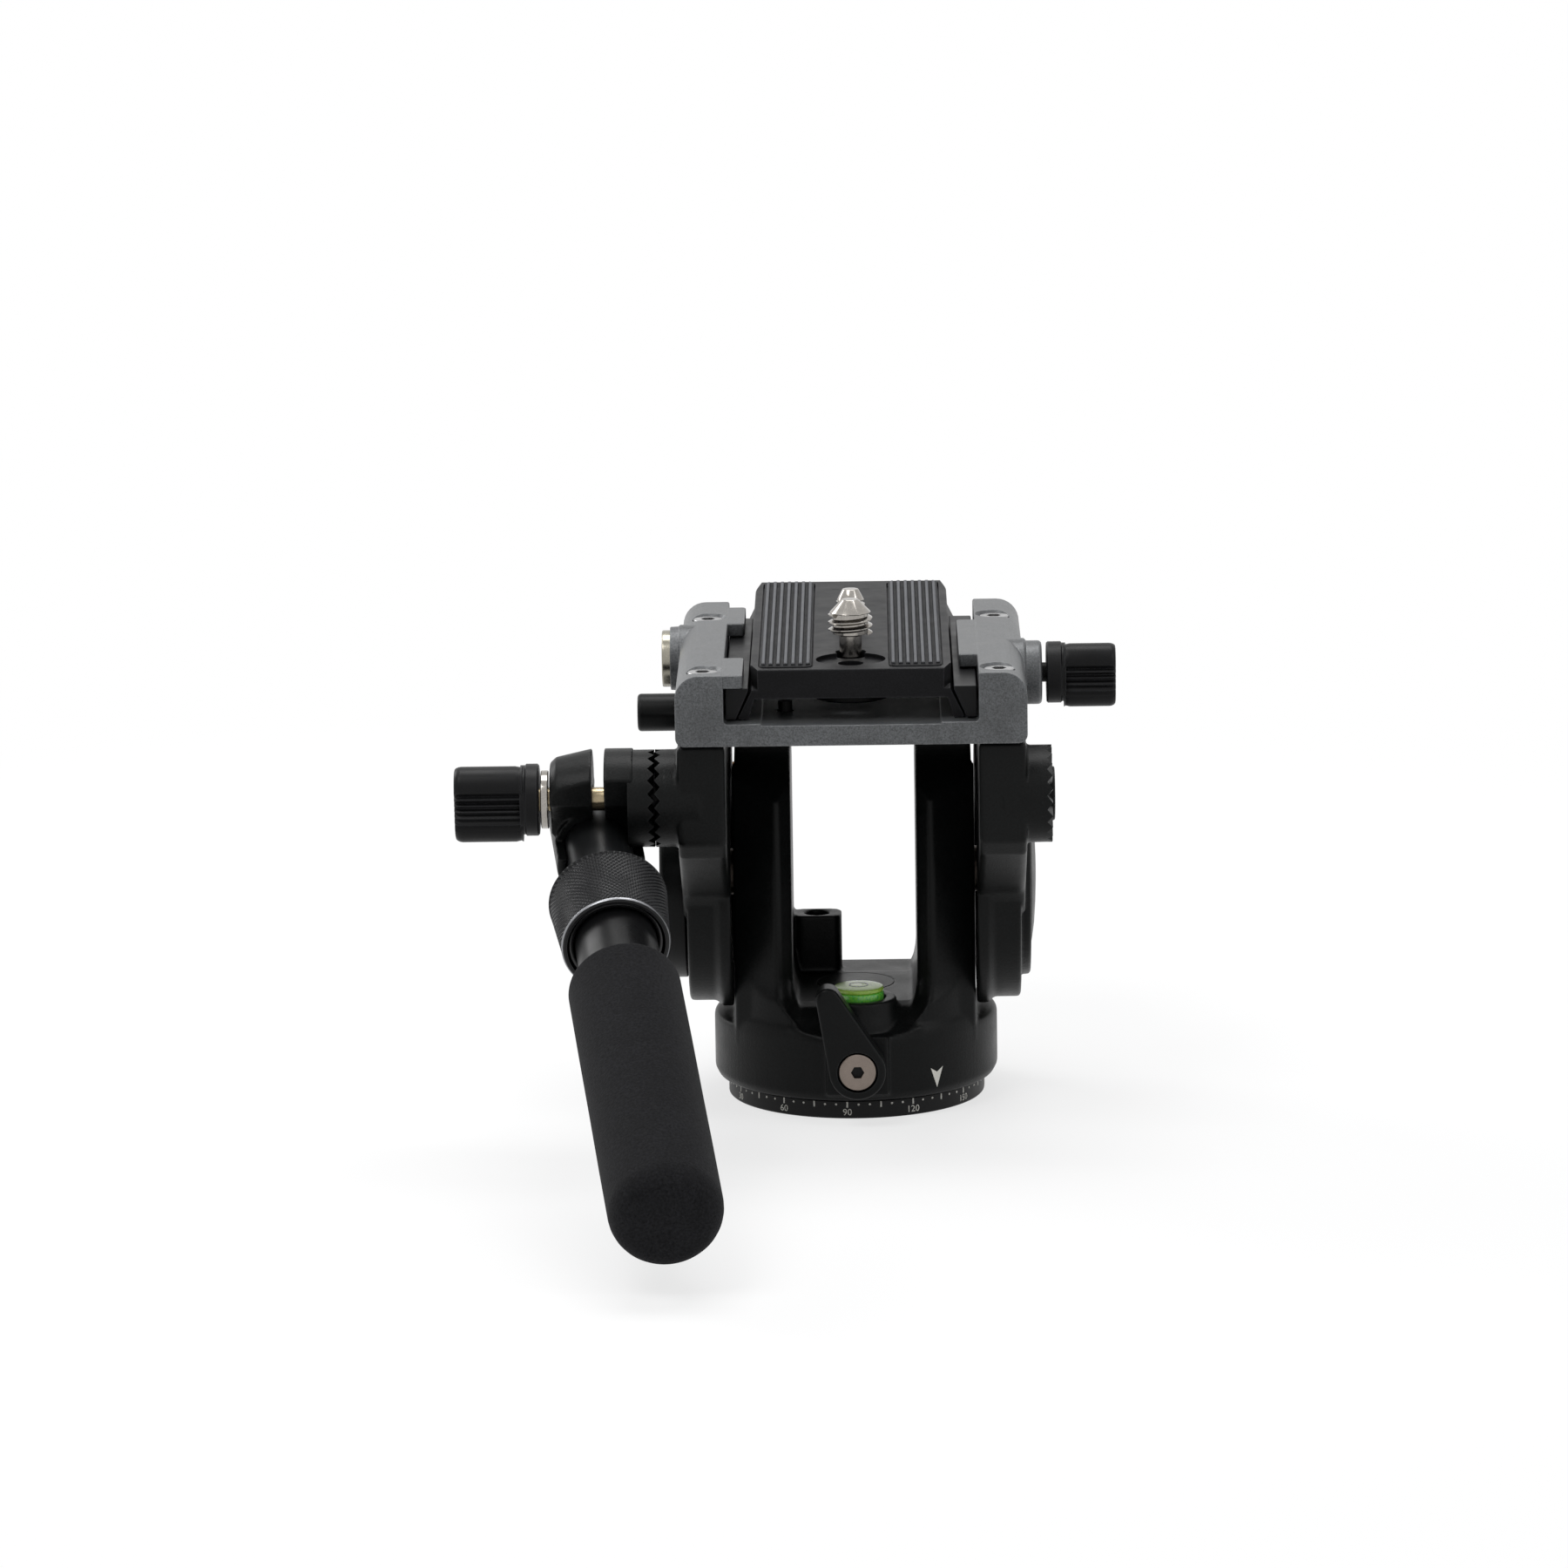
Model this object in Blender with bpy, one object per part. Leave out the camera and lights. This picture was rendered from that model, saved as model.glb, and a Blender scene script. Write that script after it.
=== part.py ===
"""Fluid video head with a twin-pillar pan housing, a tilting camera platform with a sliding plate and a telescopic pan handle.

Lengths are in metres. The pan axis is the world Z axis, the base stands on Z = 0, the operator is on the -Y side."""

import math

import bmesh
import bpy
from mathutils import Matrix, Vector

# Clearances
FIT_GAP = 0.0003
RUNNING_GAP = 0.0004
THIN_GAP = 0.0001
MERGE_DISTANCE = 0.000001

# Base and pan shaft
BASE_RADIUS = 0.0280
BASE_HEIGHT = 0.0040
BASE_HUB_RADIUS = 0.0120
BASE_HUB_TOP = 0.0065
DRUM_INNER_RADIUS = 0.0170
DRUM_OUTER_RADIUS = 0.0195
DRUM_TOP = 0.0135
SOCKET_RADIUS = 0.00415
SOCKET_DEPTH = 0.0100
SHAFT_LOWER_RADIUS = 0.0066
SHAFT_FLANGE_RADIUS = 0.0100
SHAFT_FLANGE_TOP = 0.0090
SHAFT_RADIUS = 0.0050
SHAFT_TOP = 0.0218
PAN_ROTOR_RADIUS = 0.0164
PAN_ROTOR_THICKNESS = 0.0020
PAN_BEARING_RADIUS = 0.0127
PAN_BEARING_BOTTOM = 0.0143
PAN_BEARING_TOP = 0.0170
NUT_RADIUS = 0.0074
NUT_BOTTOM = 0.0191
NUT_HEIGHT = 0.0029
CAP_RADIUS = 0.0083
CAP_THICKNESS = 0.0015
WASHER_OUTER_RADIUS = 0.0265
WASHER_GAP = 0.0010
WASHER_INNER_RADIUS = DRUM_OUTER_RADIUS + WASHER_GAP
WASHER_THICKNESS = 0.0007

# Pan housing
HOUSING_RADIUS = 0.0309
HOUSING_TOP = 0.0190
HOUSING_EDGE = 0.0016
HOUSING_LOW_EDGE = 0.0007
CAVITY_RADIUS = 0.0200
CAVITY_TOP = 0.0140
SKIRT_RADIUS = 0.0296
SKIRT_TOP = 0.0290
SKIRT_TOP_RADIUS = 0.0250
SKIRT_MID = 0.0215
SKIRT_MID_RADIUS = 0.0274
SKIRT_HALF_WIDTH = 0.0262
DECK_TOP = 0.0240
DECK_FRONT = 0.0115
DECK_REAR = 0.0237
DECK_FOOT = HOUSING_RADIUS - 0.0029
DECK_STEP_Y = 0.0105
DECK_STEP = 0.0004
GAP_HALF_WIDTH = 0.0135
PILLAR_OUTER = 0.0256
PILLAR_INNER_DEPTH = 0.0195
PILLAR_FRONT_X = 0.0165
PILLAR_FRONT_DEPTH = 0.0230
PILLAR_OUTER_DEPTH = 0.0170
PILLAR_ROUND = 0.0300
PILLAR_FOOT = 0.0150
PEDESTAL_RADIUS = 0.0082
PEDESTAL_TOP = 0.0252
BUBBLE_X = 0.0007
BUBBLE_Y = -0.0215
BUBBLE_RADIUS = 0.0055
BUBBLE_BOTTOM = 0.0232
BUBBLE_TOP = 0.0283
BUBBLE_RIM = 0.0006
BOSS_X = -0.0083
BOSS_Y = 0.0132
BOSS_HALF_WIDTH = 0.0054
BOSS_HALF_DEPTH = 0.0041
BOSS_CORNER = 0.0022
BOSS_TOP = 0.0367
BOSS_HOLE_RADIUS = 0.0027
BOSS_HOLE_DEPTH = 0.0110
PAD_HALF_WIDTH = 0.0067
PAD_FRONT = HOUSING_RADIUS + 0.0006

# Pan lock
LEVER_X = 0.0003
LEVER_Z = 0.01265
LEVER_HUB_RADIUS = 0.0061
LEVER_TIP_RADIUS = 0.0026
LEVER_TIP_X = -0.0062
LEVER_TIP_Z = 0.0159
LEVER_CLEARANCE = 0.0010
LEVER_THICKNESS = 0.0061
LEVER_BACK = HOUSING_RADIUS + LEVER_CLEARANCE
LEVER_FRONT = LEVER_BACK + LEVER_THICKNESS
LEVER_BEVEL = 0.0010
LOCK_HEAD_RADIUS = 0.00405
LOCK_HEAD_THICKNESS = 0.0024
LOCK_HEAD_SINK = 0.0002
LOCK_HEAD_FRONT = LEVER_FRONT - LOCK_HEAD_SINK
LOCK_SHANK_RADIUS = 0.0024
LOCK_SHANK_END = 0.0252
HEX_KEY_RADIUS = 0.00144
HEX_KEY_DEPTH = 0.0014
SHOE_RADIUS = 0.0038
SHOE_BACK = 0.0249
SHOE_FRONT = 0.01985
SHOE_SEAT_BACK = 0.0272

# Tilt axis, axles and drag cartridges
TILT_Z = 0.0490
AXLE_RADIUS = 0.0050
AXLE_INNER = 0.0152
AXLE_OUTER = 0.0366
AXLE_BORE_END = 0.0149
BUSHING_RADIUS = 0.0083
BUSHING_INNER = 0.0154
BUSHING_OUTER = 0.0191
CUP_RADIUS = 0.0151
CUP_INNER = 0.0197
CUP_OUTER = 0.0253
CUP_WALL = 0.0016
ROTOR_RADIUS = 0.0131
ROTOR_THICKNESS = 0.0020
ARM_NUT_RADIUS = 0.0072
NUT_WELL_RADIUS = 0.0080
ARM_NUT_INNER = 0.0348
ARM_NUT_THICKNESS = 0.0018

# Tilt arms
ARM_INNER = 0.0270
FLANGE_RADIUS = 0.0293
FLANGE_OUTER = 0.0288
DRUM_RADIUS = 0.0280
DRUM_CONE_END = 0.0303
DRUM_FACE = 0.0360
DRUM_EDGE = 0.0008
STEP_RADIUS = 0.0232
STEP_FACE = 0.0382
ARM_CAVITY_RADIUS = 0.0210
ARM_CAVITY_FACE = 0.0340
ARM_HUB_RADIUS = 0.0090
ARM_HUB_FACE = 0.0274
ARM_HUB_STEP = 0.0345
COVER_RADIUS = 0.0166
COVER_SEAT = 0.0370
COVER_EDGE_FACE = 0.0385
COVER_DOME_FACE = 0.0396
DIAL_RADIUS = 0.0229
DIAL_FACE = 0.0419
DIAL_WALL = 0.0020
DIAL_EDGE = 0.0012
DIAL_DISH_RADIUS = 0.0155
DIAL_DISH = 0.0006
DIAL_STEM_RADIUS = 0.0023
DIAL_STEM_INNER = 0.0290
BLOCK_INNER = 0.0284
BLOCK_OUTER = 0.0368
BLOCK_FRONT = 0.0545
BLOCK_TOP = 0.0877
BLOCK_FRONT_FOOT = 0.0665
BLOCK_CORNER_Y = 0.0515
BLOCK_CORNER_Z = 0.0630
BLOCK_TOE_Y = 0.0300
BLOCK_TOE_Z = 0.0500
BLOCK_HEEL_Y = 0.0250
BLOCK_HEEL_Z = 0.0440
BLOCK_REAR_LOW_Y = 0.0130
BLOCK_REAR_LOW_Z = 0.0600
LEDGE_BOTTOM = 0.0844
LEDGE_REAR = 0.0300
LOBE_OUTER = 0.0309
LOBE_LOW_Y = 0.0240
LOBE_LOW_Z = 0.0560
LOBE_REAR_Z = 0.0640
SPRING_RADIUS = 0.0155
SPRING_WIRE = 0.0006
SPRING_START = 0.0280
SPRING_PITCH = 0.0017

# Rosettes
ROSETTE_Y = -0.0445
ROSETTE_Z = 0.0747
ROSETTE_RADIUS = 0.01035
ROSETTE_INNER_RADIUS = 0.0058
ROSETTE_LEFT_VALLEY = 0.0405
ROSETTE_LEFT_CREST = 0.0417
ROSETTE_RIGHT_VALLEY = 0.0411
ROSETTE_RIGHT_CREST = 0.04225
ROSETTE_RIGHT_CENTRE = 0.0429
ROSETTE_SCREW_RADIUS = 0.0029
ROSETTE_SCREW_END = 0.0310
BOSS_ROOT = 0.0320

# Tilt lock
TILT_LOCK_Y = 0.0200
TILT_LOCK_Z = 0.0660
TILT_HUB_RADIUS = 0.0060
TILT_LOCK_SWING_DEG = 30
TILT_LOCK_CUTS = 4
TILT_LEVER_INNER = 0.0313
TILT_LEVER_OUTER = 0.0360
TILT_ROD_Y = 0.0240
TILT_ROD_Z = 0.0799
TILT_ROD_RADIUS = 0.00415
TILT_ROD_END = 0.0473
TILT_ROD_EDGE = 0.0008
TILT_SCREW_RADIUS = 0.0020
TILT_SCREW_HEAD_RADIUS = 0.0037
TILT_SCREW_HEAD = 0.0022
TILT_SCREW_END = 0.0287
TILT_SHOE_RADIUS = 0.0034
TILT_SHOE_INNER = 0.0259
TILT_SHOE_OUTER = 0.0284

# Platform
PLATFORM_HALF_WIDTH = 0.0370
PLATFORM_FRONT = -0.0570
PLATFORM_REAR = 0.0310
PLATFORM_BOTTOM = 0.0880
PLATFORM_FLOOR = 0.0928
PLATFORM_TOP = 0.1032
PLATFORM_EDGE = 0.0006
PLATFORM_ROUND = 0.0054
CHANNEL_HALF_WIDTH = 0.0268
RELIEF_HALF_WIDTH = 0.0189
RELIEF_DEPTH = 0.0004
LIP_BOTTOM = 0.1003
LEFT_FRONT_LIP_X = 0.0227
LEFT_FRONT_LIP_START = -0.0566
LEFT_FRONT_LIP_END = -0.0358
LEFT_REAR_LIP_X = 0.0231
LEFT_REAR_LIP_START = 0.0043
LEFT_REAR_LIP_END = 0.0246
RIGHT_LIP_X = 0.0229
RIGHT_LIP_START = -0.0350
RIGHT_LIP_END = 0.0062
SCREW_X = 0.0312
SCREW_FRONT_Y = -0.0495
SCREW_REAR_Y = 0.0125
SCREW_HEAD_RADIUS = 0.0029
SCREW_SHANK_RADIUS = 0.0019
SCREW_HEAD_BOTTOM = 0.0982
SCREW_HEAD_TOP = 0.1012
SCREW_END = 0.0848
SCREW_WELL_RADIUS = 0.0034
SCREW_KEY_RADIUS = 0.0017
SCREW_KEY_DEPTH = 0.0016

# Dovetail, jaw and rail
PLATE_BOTTOM = 0.0931
DOVETAIL_TOP = 0.0992
DOVETAIL_BOTTOM_X = 0.0239
DOVETAIL_TOP_X = 0.0209
JAW_TOP = 0.0999
JAW_BOTTOM = 0.0932
JAW_BACK_X = 0.0264
JAW_FRONT = -0.0540
JAW_REAR = 0.0285

# Quick release plate
PLATE_TOP = 0.1036
PLATE_FRONT = -0.0530
PLATE_REAR = 0.0530
PLATE_TOP_X = 0.0212
PLATE_UNDERSIDE = 0.0974
PLATE_HOLLOW_X = 0.0185
PLATE_TAPER_FRONT = 0.0075
PLATE_TAPER_REAR = 0.0120
PLATE_TAPER_FRONT_X = 0.0017
PLATE_TAPER_REAR_X = 0.0014
PLATE_CHAMFER = 0.0005
PAD_INNER = 0.0082
PAD_OUTER = 0.0192
PAD_FRONT_Y = -0.0508
PAD_REAR_Y = 0.0508
PAD_BOTTOM = 0.1028
PAD_VALLEY = 0.1038
PAD_TOP = 0.1044
PAD_RIBS = 7
RIB_TOP_SHARE = 0.4
RIB_FOOT_SHARE = 0.8
POCKET_Y = -0.0416
POCKET_RADIUS = 0.0074
POCKET_DEPTH = 0.0009
POCKET_HOLE_RADIUS = 0.00275

# Camera screws
LARGE_SCREW_Y = -0.0333
LARGE_THREAD_RADIUS = 0.0047625
LARGE_PITCH = 0.0015875
LARGE_NECK_RADIUS = 0.0030
LARGE_THREAD_BOTTOM = 0.1078
LARGE_TOP = 0.1150
CUT_RISE = 0.0114
CUT_TOP = PLATE_TOP + CUT_RISE
LARGE_TIP_RADIUS = 0.0017
LARGE_HEAD_RADIUS = 0.0082
SMALL_SCREW_Y = 0.0010
SMALL_THREAD_RADIUS = 0.003175
SMALL_PITCH = 0.00127
SMALL_NECK_RADIUS = 0.0022
SMALL_THREAD_BOTTOM = 0.1052
SMALL_LENGTH = 0.0059
SMALL_TOP = SMALL_THREAD_BOTTOM + SMALL_LENGTH
SMALL_TIP_RADIUS = 0.0017
SMALL_HEAD_RADIUS = 0.0072
SCREW_HEAD_LOW = 0.0940
THREAD_TURNS = 3

# Plate lock and safety button
SIDE_Z = 0.0956
LOCK_Y = -0.0170
LOCK_BOSS_RADIUS = 0.00685
LOCK_BOSS_FACE = 0.0409
LOCK_STUD_RADIUS = 0.0021
LOCK_STUD_END = 0.0270
LOCK_HUB_FACE = 0.0419
LOCK_HUB_RADIUS = 0.0066
LOCK_GRIP_FACE = 0.0456
LOCK_GRIP_END = 0.0567
LOCK_GRIP_RADIUS = 0.0066
BUTTON_Y = 0.0045
BUTTON_RADIUS = 0.00615
BUTTON_BORE_RADIUS = 0.00635
BUTTON_BOSS_RADIUS = 0.00685
BUTTON_BOSS_FACE = 0.0393
BUTTON_FACE = 0.0411
BUTTON_THICKNESS = 0.0026
BUTTON_STEM_RADIUS = 0.0020
BUTTON_STEM_END = 0.0300
BUTTON_WELL_FACE = 0.0320
BUTTON_BORE_END = 0.0275
BUTTON_SPRING_RADIUS = 0.0037
BUTTON_SPRING_WIRE = 0.00035
BUTTON_SPRING_TURNS = 4
STOP_PIN_X = -0.0140
STOP_PIN_Y = -0.0400
STOP_PIN_RADIUS = 0.0015
STOP_PIN_BOTTOM = 0.0886
STOP_PIN_TOP = 0.0945
STOP_PIN_SEAT = 0.0883

# Handle direction and clamp
HANDLE_X = -0.0544
HANDLE_DROP = 0.0110
HANDLE_TURN_DEG = 7.5
HANDLE_FALL_DEG = 20.0
CLAMP_VALLEY = 0.0432
CLAMP_CREST = 0.04185
CLAMP_DISC_FACE = 0.0466
CLAMP_RADIUS = 0.0107
CLAMP_EAR_START = 0.0550
CLAMP_SLOT_START = 0.0524
CLAMP_EAR_SHOULDER = 0.0626
CLAMP_EAR_RADIUS = 0.0090
CLAMP_EAR_FACE = 0.0639
CLAMP_EAR_FACE_RADIUS = 0.0078
CLAMP_FRONT = 0.0066
CLAMP_BACK = -0.0105
CLAMP_CHIN_FRONT = 0.0034
CLAMP_CHIN = 0.0098
CLAMP_THROAT = 0.0020
CLAMP_THROAT_HEIGHT = 0.0070
CLAMP_HEAD = 0.0230
CRADLE_RADIUS = 0.0094
CRADLE_BACK = -0.0120
CRADLE_FRONT = 0.0095
CRADLE_EDGE = 0.0018
STUD_RADIUS = 0.0025
STUD_END = 0.0340
CLAMP_WASHER_RADIUS = 0.0062
CLAMP_WASHER_INNER = 0.0643
CLAMP_WASHER_OUTER = 0.0659
KNOB_HUB_FACE = 0.0663
KNOB_HUB_RADIUS = 0.00765
KNOB_GRIP_FACE = 0.0697
KNOB_END = 0.0841
KNOB_RADIUS = 0.0078

# Handle
TUBE_RADIUS = 0.00725
TUBE_WALL = 0.0012
TUBE_BACK = -0.0125
TUBE_FRONT = 0.1250
COLLAR_BACK = 0.0230
COLLAR_FRONT = 0.0406
COLLAR_BACK_RADIUS = 0.0126
COLLAR_FRONT_RADIUS = 0.0115
COLLAR_WALL_END = 0.0260
COLLAR_EDGE = 0.0006
SLEEVE_RADIUS = 0.0086
SLEEVE_INNER_RADIUS = 0.0076
SLEEVE_BACK = 0.0300
SLEEVE_FRONT = 0.1346
COLLET_BACK = 0.0264
COLLET_FRONT = 0.0296
COLLET_RADIUS = 0.0087
BUSH_BACK = 0.0350
BUSH_FRONT = 0.0402
BUSH_RADIUS = 0.0100
COLLAR_BORE_RADIUS = 0.0103
GRIP_BACK = 0.0570
GRIP_SHOULDER = 0.1370
GRIP_FRONT = 0.1436
GRIP_BACK_RADIUS = 0.0117
GRIP_FRONT_RADIUS = 0.0116
GRIP_FACE_RADIUS = 0.0066
GRIP_BORE_END = 0.1350
GRIP_EDGE = 0.0012

# Counts
ROUND_STEPS = 40
MEDIUM_STEPS = 24
SMALL_STEPS = 16
WIRE_STEPS = 6
SPRING_STEPS = 20
SMALL_SPRING_STEPS = 12
ROSETTE_TEETH = 22
KNOB_STEPS = 48
KNOB_LOBES = 3
SPRING_TURNS = 3

# Two faces this close to one plane are one face, in radians
FLAT_ANGLE = 0.002

# Moulded knob outline: how far the lobes swell, and where the lowest lobe points
KNOB_SWELL_SHARE = 0.14
KNOB_LOBE_DEG = 251

ROOT_MATERIALS = {}


def material(name, colour, roughness, metallic=0.0):
    made = bpy.data.materials.new(name)
    made.use_nodes = True
    shader = made.node_tree.nodes["Principled BSDF"]
    shader.inputs["Base Color"].default_value = (*colour, 1.0)
    shader.inputs["Roughness"].default_value = roughness
    shader.inputs["Metallic"].default_value = metallic
    made.diffuse_color = (*colour, 1.0)
    ROOT_MATERIALS[name] = made


def clear_scene():
    for obj in list(bpy.data.objects):
        bpy.data.objects.remove(obj)
    for mesh in list(bpy.data.meshes):
        bpy.data.meshes.remove(mesh)


def frame(u, v, w, origin=(0, 0, 0)):
    """A matrix whose columns are the directions of a flat shape and of its thickness."""
    columns = [Vector(u), Vector(v), Vector(w), Vector(origin)]
    return Matrix([[columns[c][r] for c in range(4)] for r in range(3)] + [[0, 0, 0, 1]])


UPRIGHT = frame((1, 0, 0), (0, 1, 0), (0, 0, 1))
TO_RIGHT = frame((0, 1, 0), (0, 0, 1), (1, 0, 0))
TO_LEFT = frame((0, 1, 0), (0, 0, 1), (-1, 0, 0))
TO_FRONT = frame((1, 0, 0), (0, 0, 1), (0, -1, 0))
ALONG_Y = frame((1, 0, 0), (0, 0, 1), (0, 1, 0))


def moved(matrix, x=0, y=0, z=0):
    return Matrix.Translation((x, y, z)) @ matrix


def finish(name, bm, matrix, paint):
    """Turns the built mesh into a named object with outward faces."""
    bm.transform(matrix)
    bmesh.ops.recalc_face_normals(bm, faces=bm.faces)
    mesh = bpy.data.meshes.new(name)
    bm.to_mesh(mesh)
    bm.free()
    obj = bpy.data.objects.new(name, mesh)
    bpy.context.scene.collection.objects.link(obj)
    if paint:
        mesh.materials.append(ROOT_MATERIALS[paint])
    return obj


def turned(name, profile, matrix, paint=None, steps=ROUND_STEPS):
    """A turned solid. The profile is a closed loop of (radius, height) points."""
    bm = bmesh.new()
    rings = []
    for radius, height in profile:
        if radius == 0:
            rings.append([bm.verts.new((0, 0, height))])
            continue
        ring = []
        for k in range(steps):
            angle = 2 * math.pi * k / steps
            ring.append(bm.verts.new((radius * math.cos(angle), radius * math.sin(angle), height)))
        rings.append(ring)
    for k, ring in enumerate(rings):
        other = rings[(k + 1) % len(rings)]
        if len(ring) == 1 and len(other) == 1:
            continue
        for j in range(steps):
            corners = [ring[j % len(ring)], ring[(j + 1) % len(ring)]]
            corners += [other[(j + 1) % len(other)], other[j % len(other)]]
            bm.faces.new(list(dict.fromkeys(corners)))
    return finish(name, bm, matrix, paint)


def prism(name, points, low, high, matrix, paint=None):
    """A straight solid with a polygon as its section, from low to high along the third direction."""
    bm = bmesh.new()
    bottom = [bm.verts.new((u, v, low)) for u, v in points]
    top = [bm.verts.new((u, v, high)) for u, v in points]
    bm.faces.new(bottom)
    bm.faces.new(top)
    for k in range(len(points)):
        after = (k + 1) % len(points)
        bm.faces.new([bottom[k], bottom[after], top[after], top[k]])
    return finish(name, bm, matrix, paint)


def block(name, low, high, paint=None):
    points = [(low[0], low[1]), (high[0], low[1]), (high[0], high[1]), (low[0], high[1])]
    return prism(name, points, low[2], high[2], UPRIGHT, paint)


def rod(name, radius, low, high, matrix, paint=None, steps=MEDIUM_STEPS):
    return turned(name, [(0, low), (radius, low), (radius, high), (0, high)], matrix, paint, steps)


def ring_solid(name, inner, outer, low, high, matrix, paint=None, steps=MEDIUM_STEPS):
    profile = [(inner, low), (outer, low), (outer, high), (inner, high)]
    return turned(name, profile, matrix, paint, steps)


def circle(radius, steps, x=0, y=0, start=0.0, end=2 * math.pi, closed=True):
    count = steps if closed else steps + 1
    angles = [start + (end - start) * k / steps for k in range(count)]
    return [(x + radius * math.cos(a), y + radius * math.sin(a)) for a in angles]


def rounded_box(half_u, half_v, corner, x=0, y=0, steps=4):
    points = []
    quarter = math.pi / 2
    for k, (su, sv) in enumerate(((1, 1), (-1, 1), (-1, -1), (1, -1))):
        cx = x + su * (half_u - corner)
        cy = y + sv * (half_v - corner)
        points += circle(corner, steps, cx, cy, k * quarter, (k + 1) * quarter, closed=False)
    return points


def hull_of_circles(first, second, steps):
    """The outline around two circles, each (x, y, radius)."""
    points = []
    for x, y, radius in (first, second):
        points += circle(radius, steps, x, y)
    bm = bmesh.new()
    for u, v in points:
        bm.verts.new((u, v, 0))
    found = bmesh.ops.convex_hull(bm, input=bm.verts)
    keep = {v for v in found["geom"] if isinstance(v, bmesh.types.BMVert)}
    kept = [(v.co.x, v.co.y) for v in bm.verts if v in keep]
    bm.free()
    cx = sum(p[0] for p in kept) / len(kept)
    cy = sum(p[1] for p in kept) / len(kept)
    return sorted(kept, key=lambda p: math.atan2(p[1] - cy, p[0] - cx))


def into_triangles(obj):
    """Merges doubled points and splits every face, so that all faces are exactly flat."""
    bm = bmesh.new()
    bm.from_mesh(obj.data)
    bmesh.ops.remove_doubles(bm, verts=bm.verts, dist=MERGE_DISTANCE)
    bmesh.ops.dissolve_degenerate(bm, edges=bm.edges, dist=MERGE_DISTANCE)
    bmesh.ops.triangulate(bm, faces=bm.faces)
    bm.to_mesh(obj.data)
    bm.free()


def simplify(mesh):
    """Joins the flat fragments that a cut leaves, where the surface stays closed."""
    bm = bmesh.new()
    bm.from_mesh(mesh)
    bmesh.ops.dissolve_limit(bm, angle_limit=FLAT_ANGLE, verts=bm.verts, edges=bm.edges)
    bmesh.ops.triangulate(bm, faces=bm.faces)
    if all(len(edge.link_faces) == 2 for edge in bm.edges):
        bm.to_mesh(mesh)
    bm.free()


def combine(target, tool, operation):
    """Joins, cuts or intersects the target with the tool, and removes the tool."""
    into_triangles(target)
    into_triangles(tool)
    modifier = target.modifiers.new("combine", "BOOLEAN")
    modifier.operation = operation
    modifier.solver = "EXACT"
    modifier.object = tool
    bpy.context.view_layer.update()
    graph = bpy.context.evaluated_depsgraph_get()
    mesh = bpy.data.meshes.new_from_object(target.evaluated_get(graph))
    target.modifiers.clear()
    simplify(mesh)
    paint = target.data.materials[0] if target.data.materials else None
    target.data = mesh
    mesh.materials.clear()
    if paint:
        mesh.materials.append(paint)
    for polygon in mesh.polygons:
        polygon.material_index = 0
    bpy.data.objects.remove(tool)
    return target


def join(target, *tools):
    for tool in tools:
        combine(target, tool, "UNION")
    return target


def cut(target, *tools):
    for tool in tools:
        combine(target, tool, "DIFFERENCE")
    return target


def set_origin(obj, x=0, y=0, z=0):
    """Puts the origin of a moving piece on its joint axis."""
    obj.data.transform(Matrix.Translation((-x, -y, -z)))
    obj.location = (x, y, z)


def hexagon(radius, x=0, y=0):
    return circle(radius, 6, x, y)


def coil(name, radius, wire, start, pitch, turns, matrix, paint, per_turn):
    """A wound spring along the third direction, with flat round ends."""
    bm = bmesh.new()
    rings = []
    count = turns * per_turn
    for k in range(count + 1):
        angle = 2 * math.pi * k / per_turn
        height = start + pitch * k / per_turn
        ring = []
        for j in range(WIRE_STEPS):
            turn = 2 * math.pi * j / WIRE_STEPS
            out = radius + wire * math.cos(turn)
            up = height + wire * math.sin(turn)
            ring.append(bm.verts.new((out * math.cos(angle), out * math.sin(angle), up)))
        rings.append(ring)
    for first, second in zip(rings, rings[1:]):
        for j in range(WIRE_STEPS):
            after = (j + 1) % WIRE_STEPS
            bm.faces.new([first[j], first[after], second[after], second[j]])
    bm.faces.new(rings[0])
    bm.faces.new(rings[-1])
    return finish(name, bm, matrix, paint)


def toothed_disc(name, root, valley, crest, matrix, paint=None, phase=0.0):
    """A disc from root to a face with radial teeth between two radii, with a flat ring inside them."""
    bm = bmesh.new()
    count = 2 * ROSETTE_TEETH
    inner_valley = crest + (valley - crest) * ROSETTE_INNER_RADIUS / ROSETTE_RADIUS
    root_ring = []
    outer = []
    inner = []
    floor = []
    for k in range(count):
        angle = 2 * math.pi * (k + phase) / count
        direction = (math.cos(angle), math.sin(angle))
        top = crest if k % 2 == 0 else valley
        inner_top = crest if k % 2 == 0 else inner_valley
        for ring, radius, height in (
            (root_ring, ROSETTE_RADIUS, root),
            (outer, ROSETTE_RADIUS, top),
            (inner, ROSETTE_INNER_RADIUS, inner_top),
            (floor, ROSETTE_INNER_RADIUS, valley),
        ):
            ring.append(bm.verts.new((radius * direction[0], radius * direction[1], height)))
    for k in range(count):
        after = (k + 1) % count
        bm.faces.new([root_ring[k], root_ring[after], outer[after], outer[k]])
        bm.faces.new([outer[k], outer[after], inner[after], inner[k]])
        bm.faces.new([inner[k], inner[after], floor[after], floor[k]])
    bm.faces.new(root_ring)
    bm.faces.new(floor)
    return finish(name, bm, matrix, paint)


def lobed_outline(radius):
    """A knob section with three soft lobes."""
    points = []
    for k in range(KNOB_STEPS):
        angle = 2 * math.pi * k / KNOB_STEPS
        swell = math.cos(KNOB_LOBES * (angle - math.radians(KNOB_LOBE_DEG)))
        share = 1 + KNOB_SWELL_SHARE * swell
        points.append((share * radius * math.cos(angle), share * radius * math.sin(angle)))
    return points


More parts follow.
